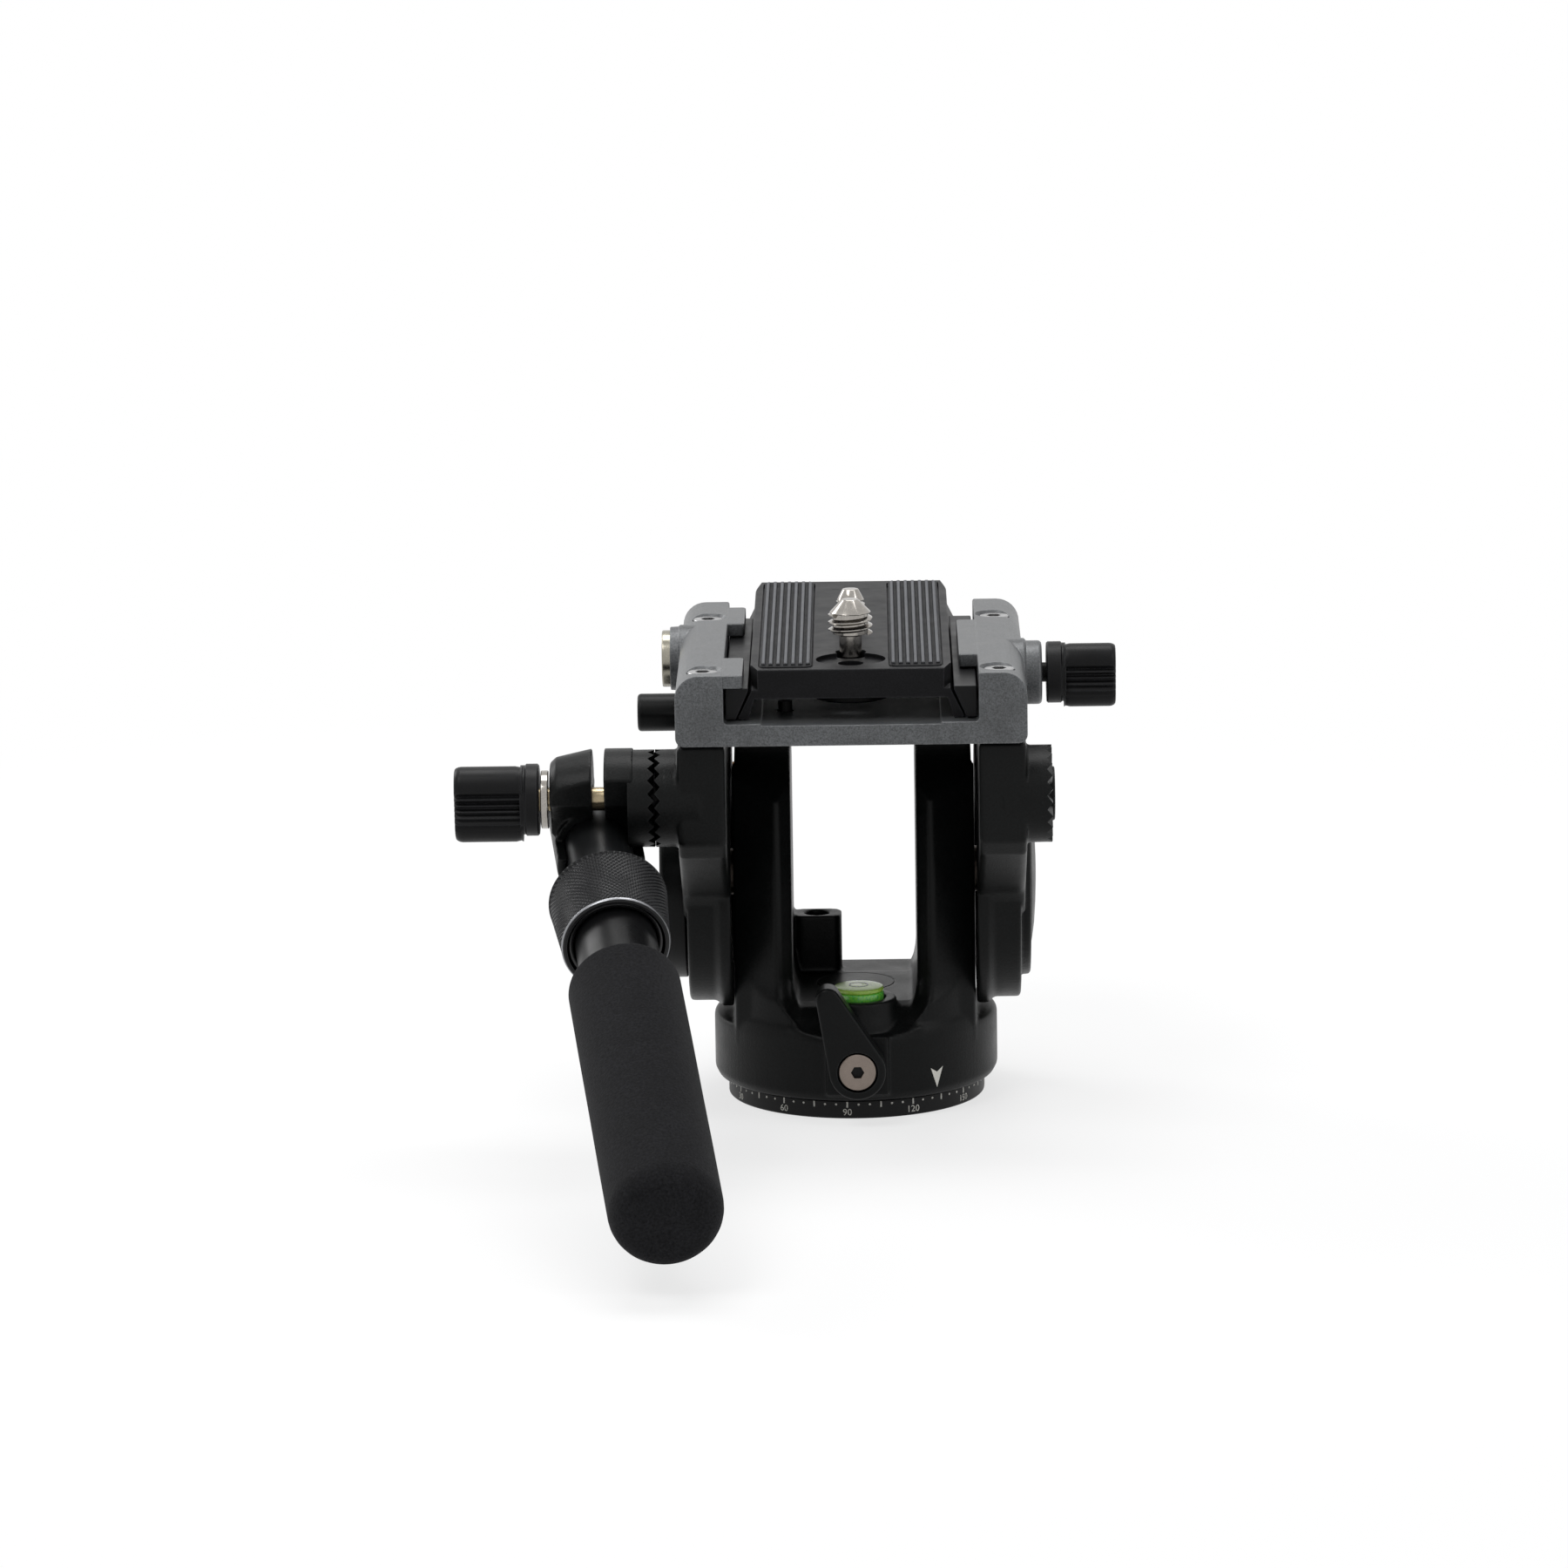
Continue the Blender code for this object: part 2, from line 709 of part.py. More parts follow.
def make_materials():
    material("black_casting", (0.020, 0.021, 0.021), 0.5, 0.2)
    material("base_black", (0.022, 0.022, 0.023), 0.45, 0.3)
    material("grey_casting", (0.20, 0.205, 0.21), 0.5, 0.4)
    material("plate_black", (0.045, 0.045, 0.048), 0.6, 0.3)
    material("pad_rubber", (0.02, 0.02, 0.022), 0.9)
    material("steel", (0.55, 0.54, 0.52), 0.3, 1.0)
    material("cap_screw_steel", (0.5, 0.5, 0.49), 0.35, 1.0)
    material("bronze", (0.5, 0.33, 0.17), 0.4, 1.0)
    material("acetal", (0.6, 0.6, 0.58), 0.5)
    material("drag_plastic", (0.15, 0.15, 0.16), 0.5)
    material("knob_plastic", (0.014, 0.014, 0.015), 0.55)
    material("bubble_green", (0.35, 0.7, 0.12), 0.15)
    material("nickel", (0.6, 0.59, 0.53), 0.3, 1.0)
    material("tube_black", (0.02, 0.02, 0.021), 0.35, 0.6)
    material("grip_foam", (0.018, 0.018, 0.019), 0.95)
    material("brass_steel", (0.55, 0.45, 0.27), 0.3, 1.0)
    material("spring_steel", (0.4, 0.4, 0.4), 0.35, 1.0)


def build_base():
    """The fixed base with its scale ring, and the pan shaft that carries the tripod socket."""
    bore = SHAFT_LOWER_RADIUS + FIT_GAP
    profile = [(bore, 0), (BASE_RADIUS, 0), (BASE_RADIUS, BASE_HEIGHT)]
    profile += [(DRUM_OUTER_RADIUS, BASE_HEIGHT), (DRUM_OUTER_RADIUS, DRUM_TOP)]
    profile += [(DRUM_INNER_RADIUS, DRUM_TOP), (DRUM_INNER_RADIUS, BASE_HEIGHT)]
    profile += [(BASE_HUB_RADIUS, BASE_HEIGHT), (BASE_HUB_RADIUS, BASE_HUB_TOP)]
    profile += [(bore, BASE_HUB_TOP)]
    turned("base_scale_ring", profile, UPRIGHT, "base_black")

    flange_bottom = BASE_HUB_TOP + FIT_GAP
    profile = [(SOCKET_RADIUS, FIT_GAP), (SHAFT_LOWER_RADIUS, FIT_GAP)]
    profile += [(SHAFT_LOWER_RADIUS, flange_bottom), (SHAFT_FLANGE_RADIUS, flange_bottom)]
    profile += [(SHAFT_FLANGE_RADIUS, SHAFT_FLANGE_TOP), (SHAFT_RADIUS, SHAFT_FLANGE_TOP)]
    profile += [(SHAFT_RADIUS, SHAFT_TOP), (0, SHAFT_TOP), (0, SOCKET_DEPTH), (SOCKET_RADIUS, SOCKET_DEPTH)]
    # The wall above the socket narrows to the stem, so the socket stops under the flange top
    profile[-1] = (SOCKET_RADIUS, SHAFT_FLANGE_TOP)
    profile[-2] = (0, SOCKET_DEPTH)
    turned("pan_shaft", profile, UPRIGHT, "steel", MEDIUM_STEPS)

    low = BASE_HEIGHT + FIT_GAP
    ring_solid(
        "pan_thrust_washer", WASHER_INNER_RADIUS, WASHER_OUTER_RADIUS, low,
        low + WASHER_THICKNESS, UPRIGHT, "acetal", ROUND_STEPS,
    )
    low = SHAFT_FLANGE_TOP + RUNNING_GAP
    rotor = ring_solid(
        "pan_drag_rotor", SHAFT_RADIUS + RUNNING_GAP, PAN_ROTOR_RADIUS, low,
        low + PAN_ROTOR_THICKNESS, UPRIGHT, "drag_plastic", ROUND_STEPS,
    )
    set_origin(rotor)
    ring_solid(
        "pan_bearing", SHAFT_RADIUS + FIT_GAP, PAN_BEARING_RADIUS, PAN_BEARING_BOTTOM,
        PAN_BEARING_TOP, UPRIGHT, "steel",
    )
    nut = prism("pan_shaft_nut", hexagon(NUT_RADIUS), NUT_BOTTOM, NUT_BOTTOM + NUT_HEIGHT, UPRIGHT, "steel")
    cut(nut, rod("tool", SHAFT_RADIUS + FIT_GAP, 0, PLATFORM_BOTTOM, UPRIGHT))
    rod("shaft_cover", CAP_RADIUS, DECK_TOP - THIN_GAP - CAP_THICKNESS, DECK_TOP - THIN_GAP, UPRIGHT, "knob_plastic")


def pillar(side):
    """One upright of the housing, with a round top about the tilt axis."""
    plan = [
        (side * GAP_HALF_WIDTH, -PILLAR_INNER_DEPTH),
        (side * PILLAR_FRONT_X, -PILLAR_FRONT_DEPTH),
        (side * PILLAR_OUTER, -PILLAR_OUTER_DEPTH),
        (side * PILLAR_OUTER, PILLAR_OUTER_DEPTH),
        (side * PILLAR_FRONT_X, PILLAR_FRONT_DEPTH),
        (side * GAP_HALF_WIDTH, PILLAR_INNER_DEPTH),
    ]
    body = prism("pillar", plan, PILLAR_FOOT, TILT_Z + PILLAR_ROUND + DECK_TOP, UPRIGHT)
    top = circle(PILLAR_ROUND, ROUND_STEPS, 0, TILT_Z, 0, math.pi, closed=False)
    profile = top + [(-PILLAR_ROUND, 0), (PILLAR_ROUND, 0)]
    tool = prism("tool", profile, -HOUSING_RADIUS, HOUSING_RADIUS, TO_RIGHT)
    return combine(body, tool, "INTERSECT")


def build_housing():
    """The pan housing: one casting with the round case, the deck, both pillars and the accessory boss."""
    edge = HOUSING_EDGE
    low = BASE_HEIGHT + FIT_GAP
    corner = circle(edge, 4, HOUSING_RADIUS - edge, HOUSING_TOP - edge, 0, math.pi / 2, closed=False)
    profile = [(0, low), (HOUSING_RADIUS - HOUSING_LOW_EDGE, low), (HOUSING_RADIUS, low + HOUSING_LOW_EDGE)]
    profile += corner + [(0, HOUSING_TOP)]
    body = turned("pan_housing", profile, UPRIGHT, "black_casting")

    skirt = [(0, HOUSING_TOP - edge), (SKIRT_RADIUS, HOUSING_TOP - edge), (SKIRT_RADIUS, HOUSING_TOP - edge / 2)]
    skirt += [(SKIRT_MID_RADIUS, SKIRT_MID), (SKIRT_TOP_RADIUS, SKIRT_TOP), (0, SKIRT_TOP)]
    for side in (-1, 1):
        part = turned("skirt", skirt, UPRIGHT)
        near = min(side * GAP_HALF_WIDTH, side * SKIRT_HALF_WIDTH)
        far = max(side * GAP_HALF_WIDTH, side * SKIRT_HALF_WIDTH)
        window = block("tool", (near, -HOUSING_RADIUS, 0), (far, HOUSING_RADIUS, BOSS_TOP))
        join(body, combine(part, window, "INTERSECT"), pillar(side))

    reach = GAP_HALF_WIDTH + THIN_GAP
    deck = [(-DECK_REAR, PILLAR_FOOT), (-DECK_REAR, DECK_TOP - DECK_STEP), (-DECK_STEP_Y, DECK_TOP - DECK_STEP)]
    deck += [(-DECK_STEP_Y, DECK_TOP), (DECK_FRONT, DECK_TOP), (DECK_FOOT, HOUSING_TOP - edge), (DECK_FOOT, PILLAR_FOOT)]
    join(body, prism("deck", deck, -reach, reach, frame((0, -1, 0), (0, 0, 1), (1, 0, 0))))
    join(body, rod("pedestal", PEDESTAL_RADIUS, PILLAR_FOOT, PEDESTAL_TOP, moved(UPRIGHT, BUBBLE_X, BUBBLE_Y)))
    pad = prism(
        "pad", [(-PAD_HALF_WIDTH, low + edge), (PAD_HALF_WIDTH, low + edge), (PAD_HALF_WIDTH, HOUSING_TOP), (-PAD_HALF_WIDTH, HOUSING_TOP)],
        DECK_FOOT, PAD_FRONT, moved(TO_FRONT, LEVER_X),
    )
    join(body, pad)
    boss = prism(
        "boss", rounded_box(BOSS_HALF_WIDTH, BOSS_HALF_DEPTH, BOSS_CORNER, BOSS_X, BOSS_Y),
        PILLAR_FOOT, BOSS_TOP, UPRIGHT,
    )
    join(body, boss)

    cavity = [(0, 0), (WASHER_OUTER_RADIUS + FIT_GAP, 0)]
    washer_top = low + WASHER_THICKNESS + FIT_GAP
    cavity += [(WASHER_OUTER_RADIUS + FIT_GAP, washer_top), (CAVITY_RADIUS, washer_top)]
    cavity += [(CAVITY_RADIUS, CAVITY_TOP), (PAN_BEARING_RADIUS + FIT_GAP, CAVITY_TOP)]
    cavity += [(PAN_BEARING_RADIUS + FIT_GAP, PAN_BEARING_TOP + FIT_GAP)]
    cavity += [(SHAFT_RADIUS + RUNNING_GAP, PAN_BEARING_TOP + FIT_GAP), (SHAFT_RADIUS + RUNNING_GAP, NUT_BOTTOM - FIT_GAP)]
    cavity += [(CAP_RADIUS + FIT_GAP, NUT_BOTTOM - FIT_GAP), (CAP_RADIUS + FIT_GAP, BOSS_TOP), (0, BOSS_TOP)]
    cut(body, turned("tool", cavity, UPRIGHT))
    cut(body, rod("tool", BUBBLE_RADIUS + FIT_GAP, BUBBLE_BOTTOM - FIT_GAP, BOSS_TOP, moved(UPRIGHT, BUBBLE_X, BUBBLE_Y)))
    cut(body, rod("tool", BOSS_HOLE_RADIUS, BOSS_TOP - BOSS_HOLE_DEPTH, BOSS_TOP + edge, moved(UPRIGHT, BOSS_X, BOSS_Y), None, SMALL_STEPS))
    shoe_bore = [(0, BUBBLE_RADIUS), (SHOE_RADIUS + FIT_GAP, BUBBLE_RADIUS), (SHOE_RADIUS + FIT_GAP, SHOE_SEAT_BACK)]
    shoe_bore += [(LOCK_SHANK_RADIUS + FIT_GAP, SHOE_SEAT_BACK), (LOCK_SHANK_RADIUS + FIT_GAP, LEVER_FRONT), (0, LEVER_FRONT)]
    cut(body, turned("tool", shoe_bore, moved(TO_FRONT, LEVER_X, 0, LEVER_Z), None, SMALL_STEPS))
    for matrix in (TO_RIGHT, TO_LEFT):
        bore = [(0, AXLE_BORE_END), (BUSHING_RADIUS + FIT_GAP, AXLE_BORE_END)]
        bore += [(BUSHING_RADIUS + FIT_GAP, CUP_INNER - FIT_GAP), (CUP_RADIUS + FIT_GAP, CUP_INNER - FIT_GAP)]
        bore += [(CUP_RADIUS + FIT_GAP, ARM_INNER), (0, ARM_INNER)]
        cut(body, turned("tool", bore, moved(matrix, 0, 0, TILT_Z)))
    set_origin(body)


def build_bubble():
    top = BUBBLE_TOP
    radius = BUBBLE_RADIUS
    profile = [(0, BUBBLE_BOTTOM), (radius, BUBBLE_BOTTOM), (radius, top - BUBBLE_RIM), (radius - BUBBLE_RIM, top), (0, top)]
    turned("bubble_level", profile, moved(UPRIGHT, BUBBLE_X, BUBBLE_Y), "bubble_green")


def build_pan_lock():
    """Teardrop lever with its screw, and the brake shoe behind it."""
    hub = (0, 0, LEVER_HUB_RADIUS)
    tip = (LEVER_TIP_X, LEVER_TIP_Z, LEVER_TIP_RADIUS)
    at = moved(TO_FRONT, LEVER_X, 0, LEVER_Z)
    lever = prism("pan_lock_lever", hull_of_circles(hub, tip, SMALL_STEPS), LEVER_BACK, LEVER_FRONT - LEVER_BEVEL, at, "black_casting")
    slim = [(0, 0, LEVER_HUB_RADIUS - LEVER_BEVEL), (LEVER_TIP_X, LEVER_TIP_Z, LEVER_TIP_RADIUS - LEVER_BEVEL)]
    front = prism("front", hull_of_circles(slim[0], slim[1], SMALL_STEPS), LEVER_BACK + LEVER_BEVEL, LEVER_FRONT, at)
    join(lever, front)
    well = LOCK_HEAD_FRONT - LOCK_HEAD_THICKNESS - FIT_GAP
    bore = [(0, SHOE_FRONT), (LOCK_SHANK_RADIUS + FIT_GAP, SHOE_FRONT), (LOCK_SHANK_RADIUS + FIT_GAP, well)]
    bore += [(LOCK_HEAD_RADIUS + RUNNING_GAP, well), (LOCK_HEAD_RADIUS + RUNNING_GAP, LEVER_FRONT + LEVER_BEVEL)]
    bore += [(0, LEVER_FRONT + LEVER_BEVEL)]
    cut(lever, turned("tool", bore, at, None, MEDIUM_STEPS))
    set_origin(lever, LEVER_X, -LEVER_FRONT, LEVER_Z)

    head_back = LOCK_HEAD_FRONT - LOCK_HEAD_THICKNESS
    profile = [(0, LOCK_SHANK_END), (LOCK_SHANK_RADIUS, LOCK_SHANK_END), (LOCK_SHANK_RADIUS, head_back)]
    profile += [(LOCK_HEAD_RADIUS, head_back), (LOCK_HEAD_RADIUS, LOCK_HEAD_FRONT), (0, LOCK_HEAD_FRONT)]
    screw = turned("pan_lock_screw", profile, at, "steel", MEDIUM_STEPS)
    cut(screw, prism("tool", hexagon(HEX_KEY_RADIUS), LOCK_HEAD_FRONT - HEX_KEY_DEPTH, LEVER_FRONT + LEVER_BEVEL, at))
    set_origin(screw, LEVER_X, -LEVER_FRONT, LEVER_Z)
    rod("pan_brake_shoe", SHOE_RADIUS, SHOE_FRONT, SHOE_BACK, at, "bronze", SMALL_STEPS)


def build_tilt_internals():
    """Axle, bushing and drag cartridge of each side."""
    for side, matrix in (("left", TO_LEFT), ("right", TO_RIGHT)):
        at = moved(matrix, 0, 0, TILT_Z)
        ring_solid(
            "tilt_bushing_" + side, AXLE_RADIUS + FIT_GAP, BUSHING_RADIUS, BUSHING_INNER,
            BUSHING_OUTER, at, "bronze",
        )
        floor = CUP_INNER + CUP_WALL
        cup = [(AXLE_RADIUS + RUNNING_GAP, CUP_INNER), (CUP_RADIUS, CUP_INNER), (CUP_RADIUS, CUP_OUTER)]
        cup += [(CUP_RADIUS - CUP_WALL, CUP_OUTER), (CUP_RADIUS - CUP_WALL, floor), (AXLE_RADIUS + RUNNING_GAP, floor)]
        turned("tilt_drag_cup_" + side, cup, at, "drag_plastic")
        low = floor + RUNNING_GAP
        rotor = ring_solid(
            "tilt_drag_rotor_" + side, AXLE_RADIUS + FIT_GAP, ROTOR_RADIUS, low,
            low + ROTOR_THICKNESS, at, "acetal", ROUND_STEPS,
        )
        set_origin(rotor, 0, 0, TILT_Z)
        if side == "left":
            bore = DIAL_STEM_RADIUS + RUNNING_GAP
            bottom = DIAL_STEM_INNER - RUNNING_GAP
            profile = [(0, AXLE_INNER), (AXLE_RADIUS, AXLE_INNER), (AXLE_RADIUS, ARM_NUT_INNER + ARM_NUT_THICKNESS)]
            profile += [(bore, ARM_NUT_INNER + ARM_NUT_THICKNESS), (bore, bottom), (0, bottom)]
        else:
            profile = [(0, AXLE_INNER), (AXLE_RADIUS, AXLE_INNER), (AXLE_RADIUS, AXLE_OUTER), (0, AXLE_OUTER)]
        axle = turned("tilt_axle_" + side, profile, at, "steel", MEDIUM_STEPS)
        set_origin(axle, 0, 0, TILT_Z)
        nut = prism("tilt_axle_nut_" + side, hexagon(ARM_NUT_RADIUS), ARM_NUT_INNER, ARM_NUT_INNER + ARM_NUT_THICKNESS, at, "steel")
        cut(nut, rod("tool", AXLE_RADIUS + FIT_GAP, 0, PLATFORM_BOTTOM, at))
        set_origin(nut, 0, 0, TILT_Z)
    at = moved(TO_RIGHT, 0, 0, TILT_Z)
    coil("counterbalance_spring", SPRING_RADIUS, SPRING_WIRE, SPRING_START, SPRING_PITCH, SPRING_TURNS, at, "spring_steel", SPRING_STEPS)


def arm(side_name, matrix, sign):
    """One tilt arm: the stepped drum, the block under the platform and the rosette boss."""
    at = moved(matrix, 0, 0, TILT_Z)
    face = STEP_FACE if side_name == "right" else DRUM_FACE
    profile = [(0, ARM_INNER), (FLANGE_RADIUS, ARM_INNER), (FLANGE_RADIUS, FLANGE_OUTER), (DRUM_RADIUS, DRUM_CONE_END)]
    profile += [(DRUM_RADIUS, DRUM_FACE - DRUM_EDGE), (DRUM_RADIUS - DRUM_EDGE, DRUM_FACE)]
    if side_name == "right":
        profile += [(STEP_RADIUS, DRUM_FACE), (STEP_RADIUS, face - DRUM_EDGE), (STEP_RADIUS - DRUM_EDGE, face)]
    profile += [(0, face)]
    body = turned("tilt_arm_" + side_name, profile, at, "black_casting")

    outline = [(-BLOCK_FRONT, BLOCK_TOP), (-BLOCK_FRONT, BLOCK_FRONT_FOOT), (-BLOCK_CORNER_Y, BLOCK_CORNER_Z)]
    outline += [(-BLOCK_TOE_Y, BLOCK_TOE_Z), (-BLOCK_HEEL_Y, BLOCK_HEEL_Z), (0, TILT_Z)]
    outline += [(BLOCK_REAR_LOW_Y, BLOCK_REAR_LOW_Z), (BLOCK_REAR_LOW_Y, LEDGE_BOTTOM)]
    outline += [(LEDGE_REAR, LEDGE_BOTTOM), (LEDGE_REAR, BLOCK_TOP)]
    join(body, prism("block", outline, BLOCK_INNER, BLOCK_OUTER, matrix))
    if side_name == "left":
        lobe = [(0, TILT_Z), (LOBE_LOW_Y, LOBE_LOW_Z), (LEDGE_REAR, LOBE_REAR_Z), (LEDGE_REAR, LEDGE_BOTTOM + THIN_GAP), (0, LEDGE_BOTTOM + THIN_GAP)]
        join(body, prism("lobe", lobe, BLOCK_INNER, LOBE_OUTER, matrix))

    boss_at = moved(matrix, 0, ROSETTE_Y, ROSETTE_Z)
    if side_name == "left":
        teeth = toothed_disc("teeth", BOSS_ROOT, ROSETTE_LEFT_VALLEY, ROSETTE_LEFT_CREST, boss_at)
        join(body, teeth)
    else:
        teeth = toothed_disc("teeth", BOSS_ROOT, ROSETTE_RIGHT_VALLEY, ROSETTE_RIGHT_CREST, boss_at)
        join(body, teeth, rod("centre", ROSETTE_INNER_RADIUS - THIN_GAP, BOSS_ROOT, ROSETTE_RIGHT_CENTRE, boss_at))
    cut(body, rod("tool", ROSETTE_SCREW_RADIUS, ROSETTE_SCREW_END, TILT_ROD_END, boss_at, None, SMALL_STEPS))

    bore = [(0, 0), (ARM_CAVITY_RADIUS, 0), (ARM_CAVITY_RADIUS, ARM_CAVITY_FACE), (ARM_HUB_RADIUS, ARM_CAVITY_FACE)]
    bore += [(ARM_HUB_RADIUS, ARM_HUB_FACE), (AXLE_RADIUS + FIT_GAP, ARM_HUB_FACE)]
    bore += [(AXLE_RADIUS + FIT_GAP, ARM_HUB_STEP), (NUT_WELL_RADIUS, ARM_HUB_STEP)]
    bore += [(NUT_WELL_RADIUS, COVER_SEAT - FIT_GAP)]
    if side_name == "right":
        bore += [(COVER_RADIUS + FIT_GAP, COVER_SEAT - FIT_GAP), (COVER_RADIUS + FIT_GAP, TILT_ROD_END)]
    else:
        bore += [(NUT_WELL_RADIUS, TILT_ROD_END)]
    bore += [(0, TILT_ROD_END)]
    cut(body, turned("tool", bore, at))
    for y in (SCREW_FRONT_Y, SCREW_REAR_Y):
        x = sign * SCREW_X
        cut(body, rod("tool", SCREW_SHANK_RADIUS + FIT_GAP, SCREW_END - FIT_GAP, PLATFORM_TOP, moved(UPRIGHT, x, y), None, SMALL_STEPS))
    if side_name == "left":
        cut(body, rod("tool", DIAL_RADIUS + RUNNING_GAP, DRUM_FACE, TILT_ROD_END, at, None, ROUND_STEPS))
        lock_at = moved(matrix, 0, TILT_LOCK_Y, TILT_LOCK_Z)
        rise = TILT_ROD_Z - TILT_LOCK_Z
        run = TILT_ROD_Y - TILT_LOCK_Y
        for k in range(TILT_LOCK_CUTS):
            turn = math.radians(TILT_LOCK_SWING_DEG) * k / (TILT_LOCK_CUTS - 1)
            far_y = run * math.cos(turn) + rise * math.sin(turn)
            far_z = rise * math.cos(turn) - run * math.sin(turn)
            hub = (0, 0, TILT_HUB_RADIUS + RUNNING_GAP)
            swept = hull_of_circles(hub, (far_y, far_z, TILT_ROD_RADIUS + RUNNING_GAP - THIN_GAP), SMALL_STEPS)
            cut(body, prism("tool", swept, LOBE_OUTER, TILT_ROD_END, lock_at))
        seat = [(0, 0), (TILT_SHOE_RADIUS + FIT_GAP, 0), (TILT_SHOE_RADIUS + FIT_GAP, TILT_SHOE_OUTER + FIT_GAP)]
        seat += [(TILT_SCREW_RADIUS + FIT_GAP, TILT_SHOE_OUTER + FIT_GAP), (TILT_SCREW_RADIUS + FIT_GAP, TILT_ROD_END), (0, TILT_ROD_END)]
        cut(body, turned("tool", seat, lock_at, None, SMALL_STEPS))
    set_origin(body, 0, 0, TILT_Z)


def build_drum_covers():
    """The domed cover on the right drum and the drag dial on the left one."""
    at = moved(TO_RIGHT, 0, 0, TILT_Z)
    profile = [(0, COVER_SEAT), (COVER_RADIUS, COVER_SEAT), (COVER_RADIUS, COVER_EDGE_FACE)]
    rise = COVER_DOME_FACE - COVER_EDGE_FACE
    for share in (0.75, 0.5, 0.25):
        profile.append((COVER_RADIUS * share, COVER_EDGE_FACE + rise * (1 - share * share)))
    profile.append((0, COVER_DOME_FACE))
    cover = turned("drum_cover_right", profile, at, "black_casting")
    set_origin(cover, 0, 0, TILT_Z)

    at = moved(TO_LEFT, 0, 0, TILT_Z)
    low = DRUM_FACE + RUNNING_GAP
    inside = DIAL_FACE - DIAL_WALL - DIAL_DISH
    profile = [(0, DIAL_STEM_INNER), (DIAL_STEM_RADIUS, DIAL_STEM_INNER), (DIAL_STEM_RADIUS, inside)]
    profile += [(DIAL_RADIUS - DIAL_WALL, inside), (DIAL_RADIUS - DIAL_WALL, low), (DIAL_RADIUS, low)]
    profile += [(DIAL_RADIUS, DIAL_FACE - DIAL_EDGE), (DIAL_RADIUS - DIAL_EDGE, DIAL_FACE)]
    profile += [(DIAL_DISH_RADIUS, DIAL_FACE), (DIAL_DISH_RADIUS - DIAL_DISH, DIAL_FACE - DIAL_DISH), (0, DIAL_FACE - DIAL_DISH)]
    dial = turned("tilt_drag_dial", profile, at, "black_casting")
    set_origin(dial, 0, 0, TILT_Z)


def build_tilt_lock():
    at = moved(TO_LEFT, 0, TILT_LOCK_Y, TILT_LOCK_Z)
    rise = TILT_ROD_Z - TILT_LOCK_Z
    run = TILT_ROD_Y - TILT_LOCK_Y
    outline = hull_of_circles((0, 0, TILT_HUB_RADIUS), (run, rise, TILT_ROD_RADIUS - THIN_GAP), SMALL_STEPS)
    lever = prism("tilt_lock_lever", outline, TILT_LEVER_INNER, TILT_LEVER_OUTER, at, "black_casting")
    rod_profile = [(0, TILT_LEVER_INNER + THIN_GAP), (TILT_ROD_RADIUS, TILT_LEVER_INNER + THIN_GAP)]
    rod_profile += [(TILT_ROD_RADIUS, TILT_ROD_END - TILT_ROD_EDGE), (TILT_ROD_RADIUS - TILT_ROD_EDGE, TILT_ROD_END), (0, TILT_ROD_END)]
    join(lever, turned("rod", rod_profile, moved(TO_LEFT, 0, TILT_ROD_Y, TILT_ROD_Z), None, MEDIUM_STEPS))
    head_inner = TILT_LEVER_OUTER - TILT_SCREW_HEAD - FIT_GAP
    bore = [(0, 0), (TILT_SCREW_RADIUS + FIT_GAP, 0), (TILT_SCREW_RADIUS + FIT_GAP, head_inner)]
    bore += [(TILT_SCREW_HEAD_RADIUS + FIT_GAP, head_inner), (TILT_SCREW_HEAD_RADIUS + FIT_GAP, TILT_ROD_END), (0, TILT_ROD_END)]
    cut(lever, turned("tool", bore, at, None, SMALL_STEPS))
    set_origin(lever, -TILT_LEVER_OUTER, TILT_LOCK_Y, TILT_LOCK_Z)

    low = TILT_LEVER_OUTER - TILT_SCREW_HEAD
    profile = [(0, TILT_SCREW_END), (TILT_SCREW_RADIUS, TILT_SCREW_END), (TILT_SCREW_RADIUS, low)]
    profile += [(TILT_SCREW_HEAD_RADIUS, low), (TILT_SCREW_HEAD_RADIUS, TILT_LEVER_OUTER), (0, TILT_LEVER_OUTER)]
    screw = turned("tilt_lock_screw", profile, at, "cap_screw_steel", SMALL_STEPS)
    cut(screw, prism("tool", hexagon(HEX_KEY_RADIUS), TILT_LEVER_OUTER - HEX_KEY_DEPTH, TILT_ROD_END, at))
    set_origin(screw, -TILT_LEVER_OUTER, TILT_LOCK_Y, TILT_LOCK_Z)
    rod("tilt_brake_shoe", TILT_SHOE_RADIUS, TILT_SHOE_INNER, TILT_SHOE_OUTER, at, "bronze", SMALL_STEPS)


def platform_section():
    """The front view of the platform, a wide channel with rounded outer shoulders."""
    half = []
    half += [(0, PLATFORM_FLOOR - RELIEF_DEPTH), (RELIEF_HALF_WIDTH, PLATFORM_FLOOR - RELIEF_DEPTH)]
    half += [(RELIEF_HALF_WIDTH, PLATFORM_FLOOR), (CHANNEL_HALF_WIDTH, PLATFORM_FLOOR), (CHANNEL_HALF_WIDTH, PLATFORM_TOP)]
    x = PLATFORM_HALF_WIDTH - PLATFORM_ROUND
    z = PLATFORM_TOP - PLATFORM_ROUND
    half += circle(PLATFORM_ROUND, 6, x, z, math.pi / 2, 0, closed=False)
    half += [(PLATFORM_HALF_WIDTH, PLATFORM_BOTTOM + PLATFORM_EDGE), (PLATFORM_HALF_WIDTH - PLATFORM_EDGE, PLATFORM_BOTTOM)]
    left = [(-x, z) for x, z in reversed(half[1:])]
    return half + left


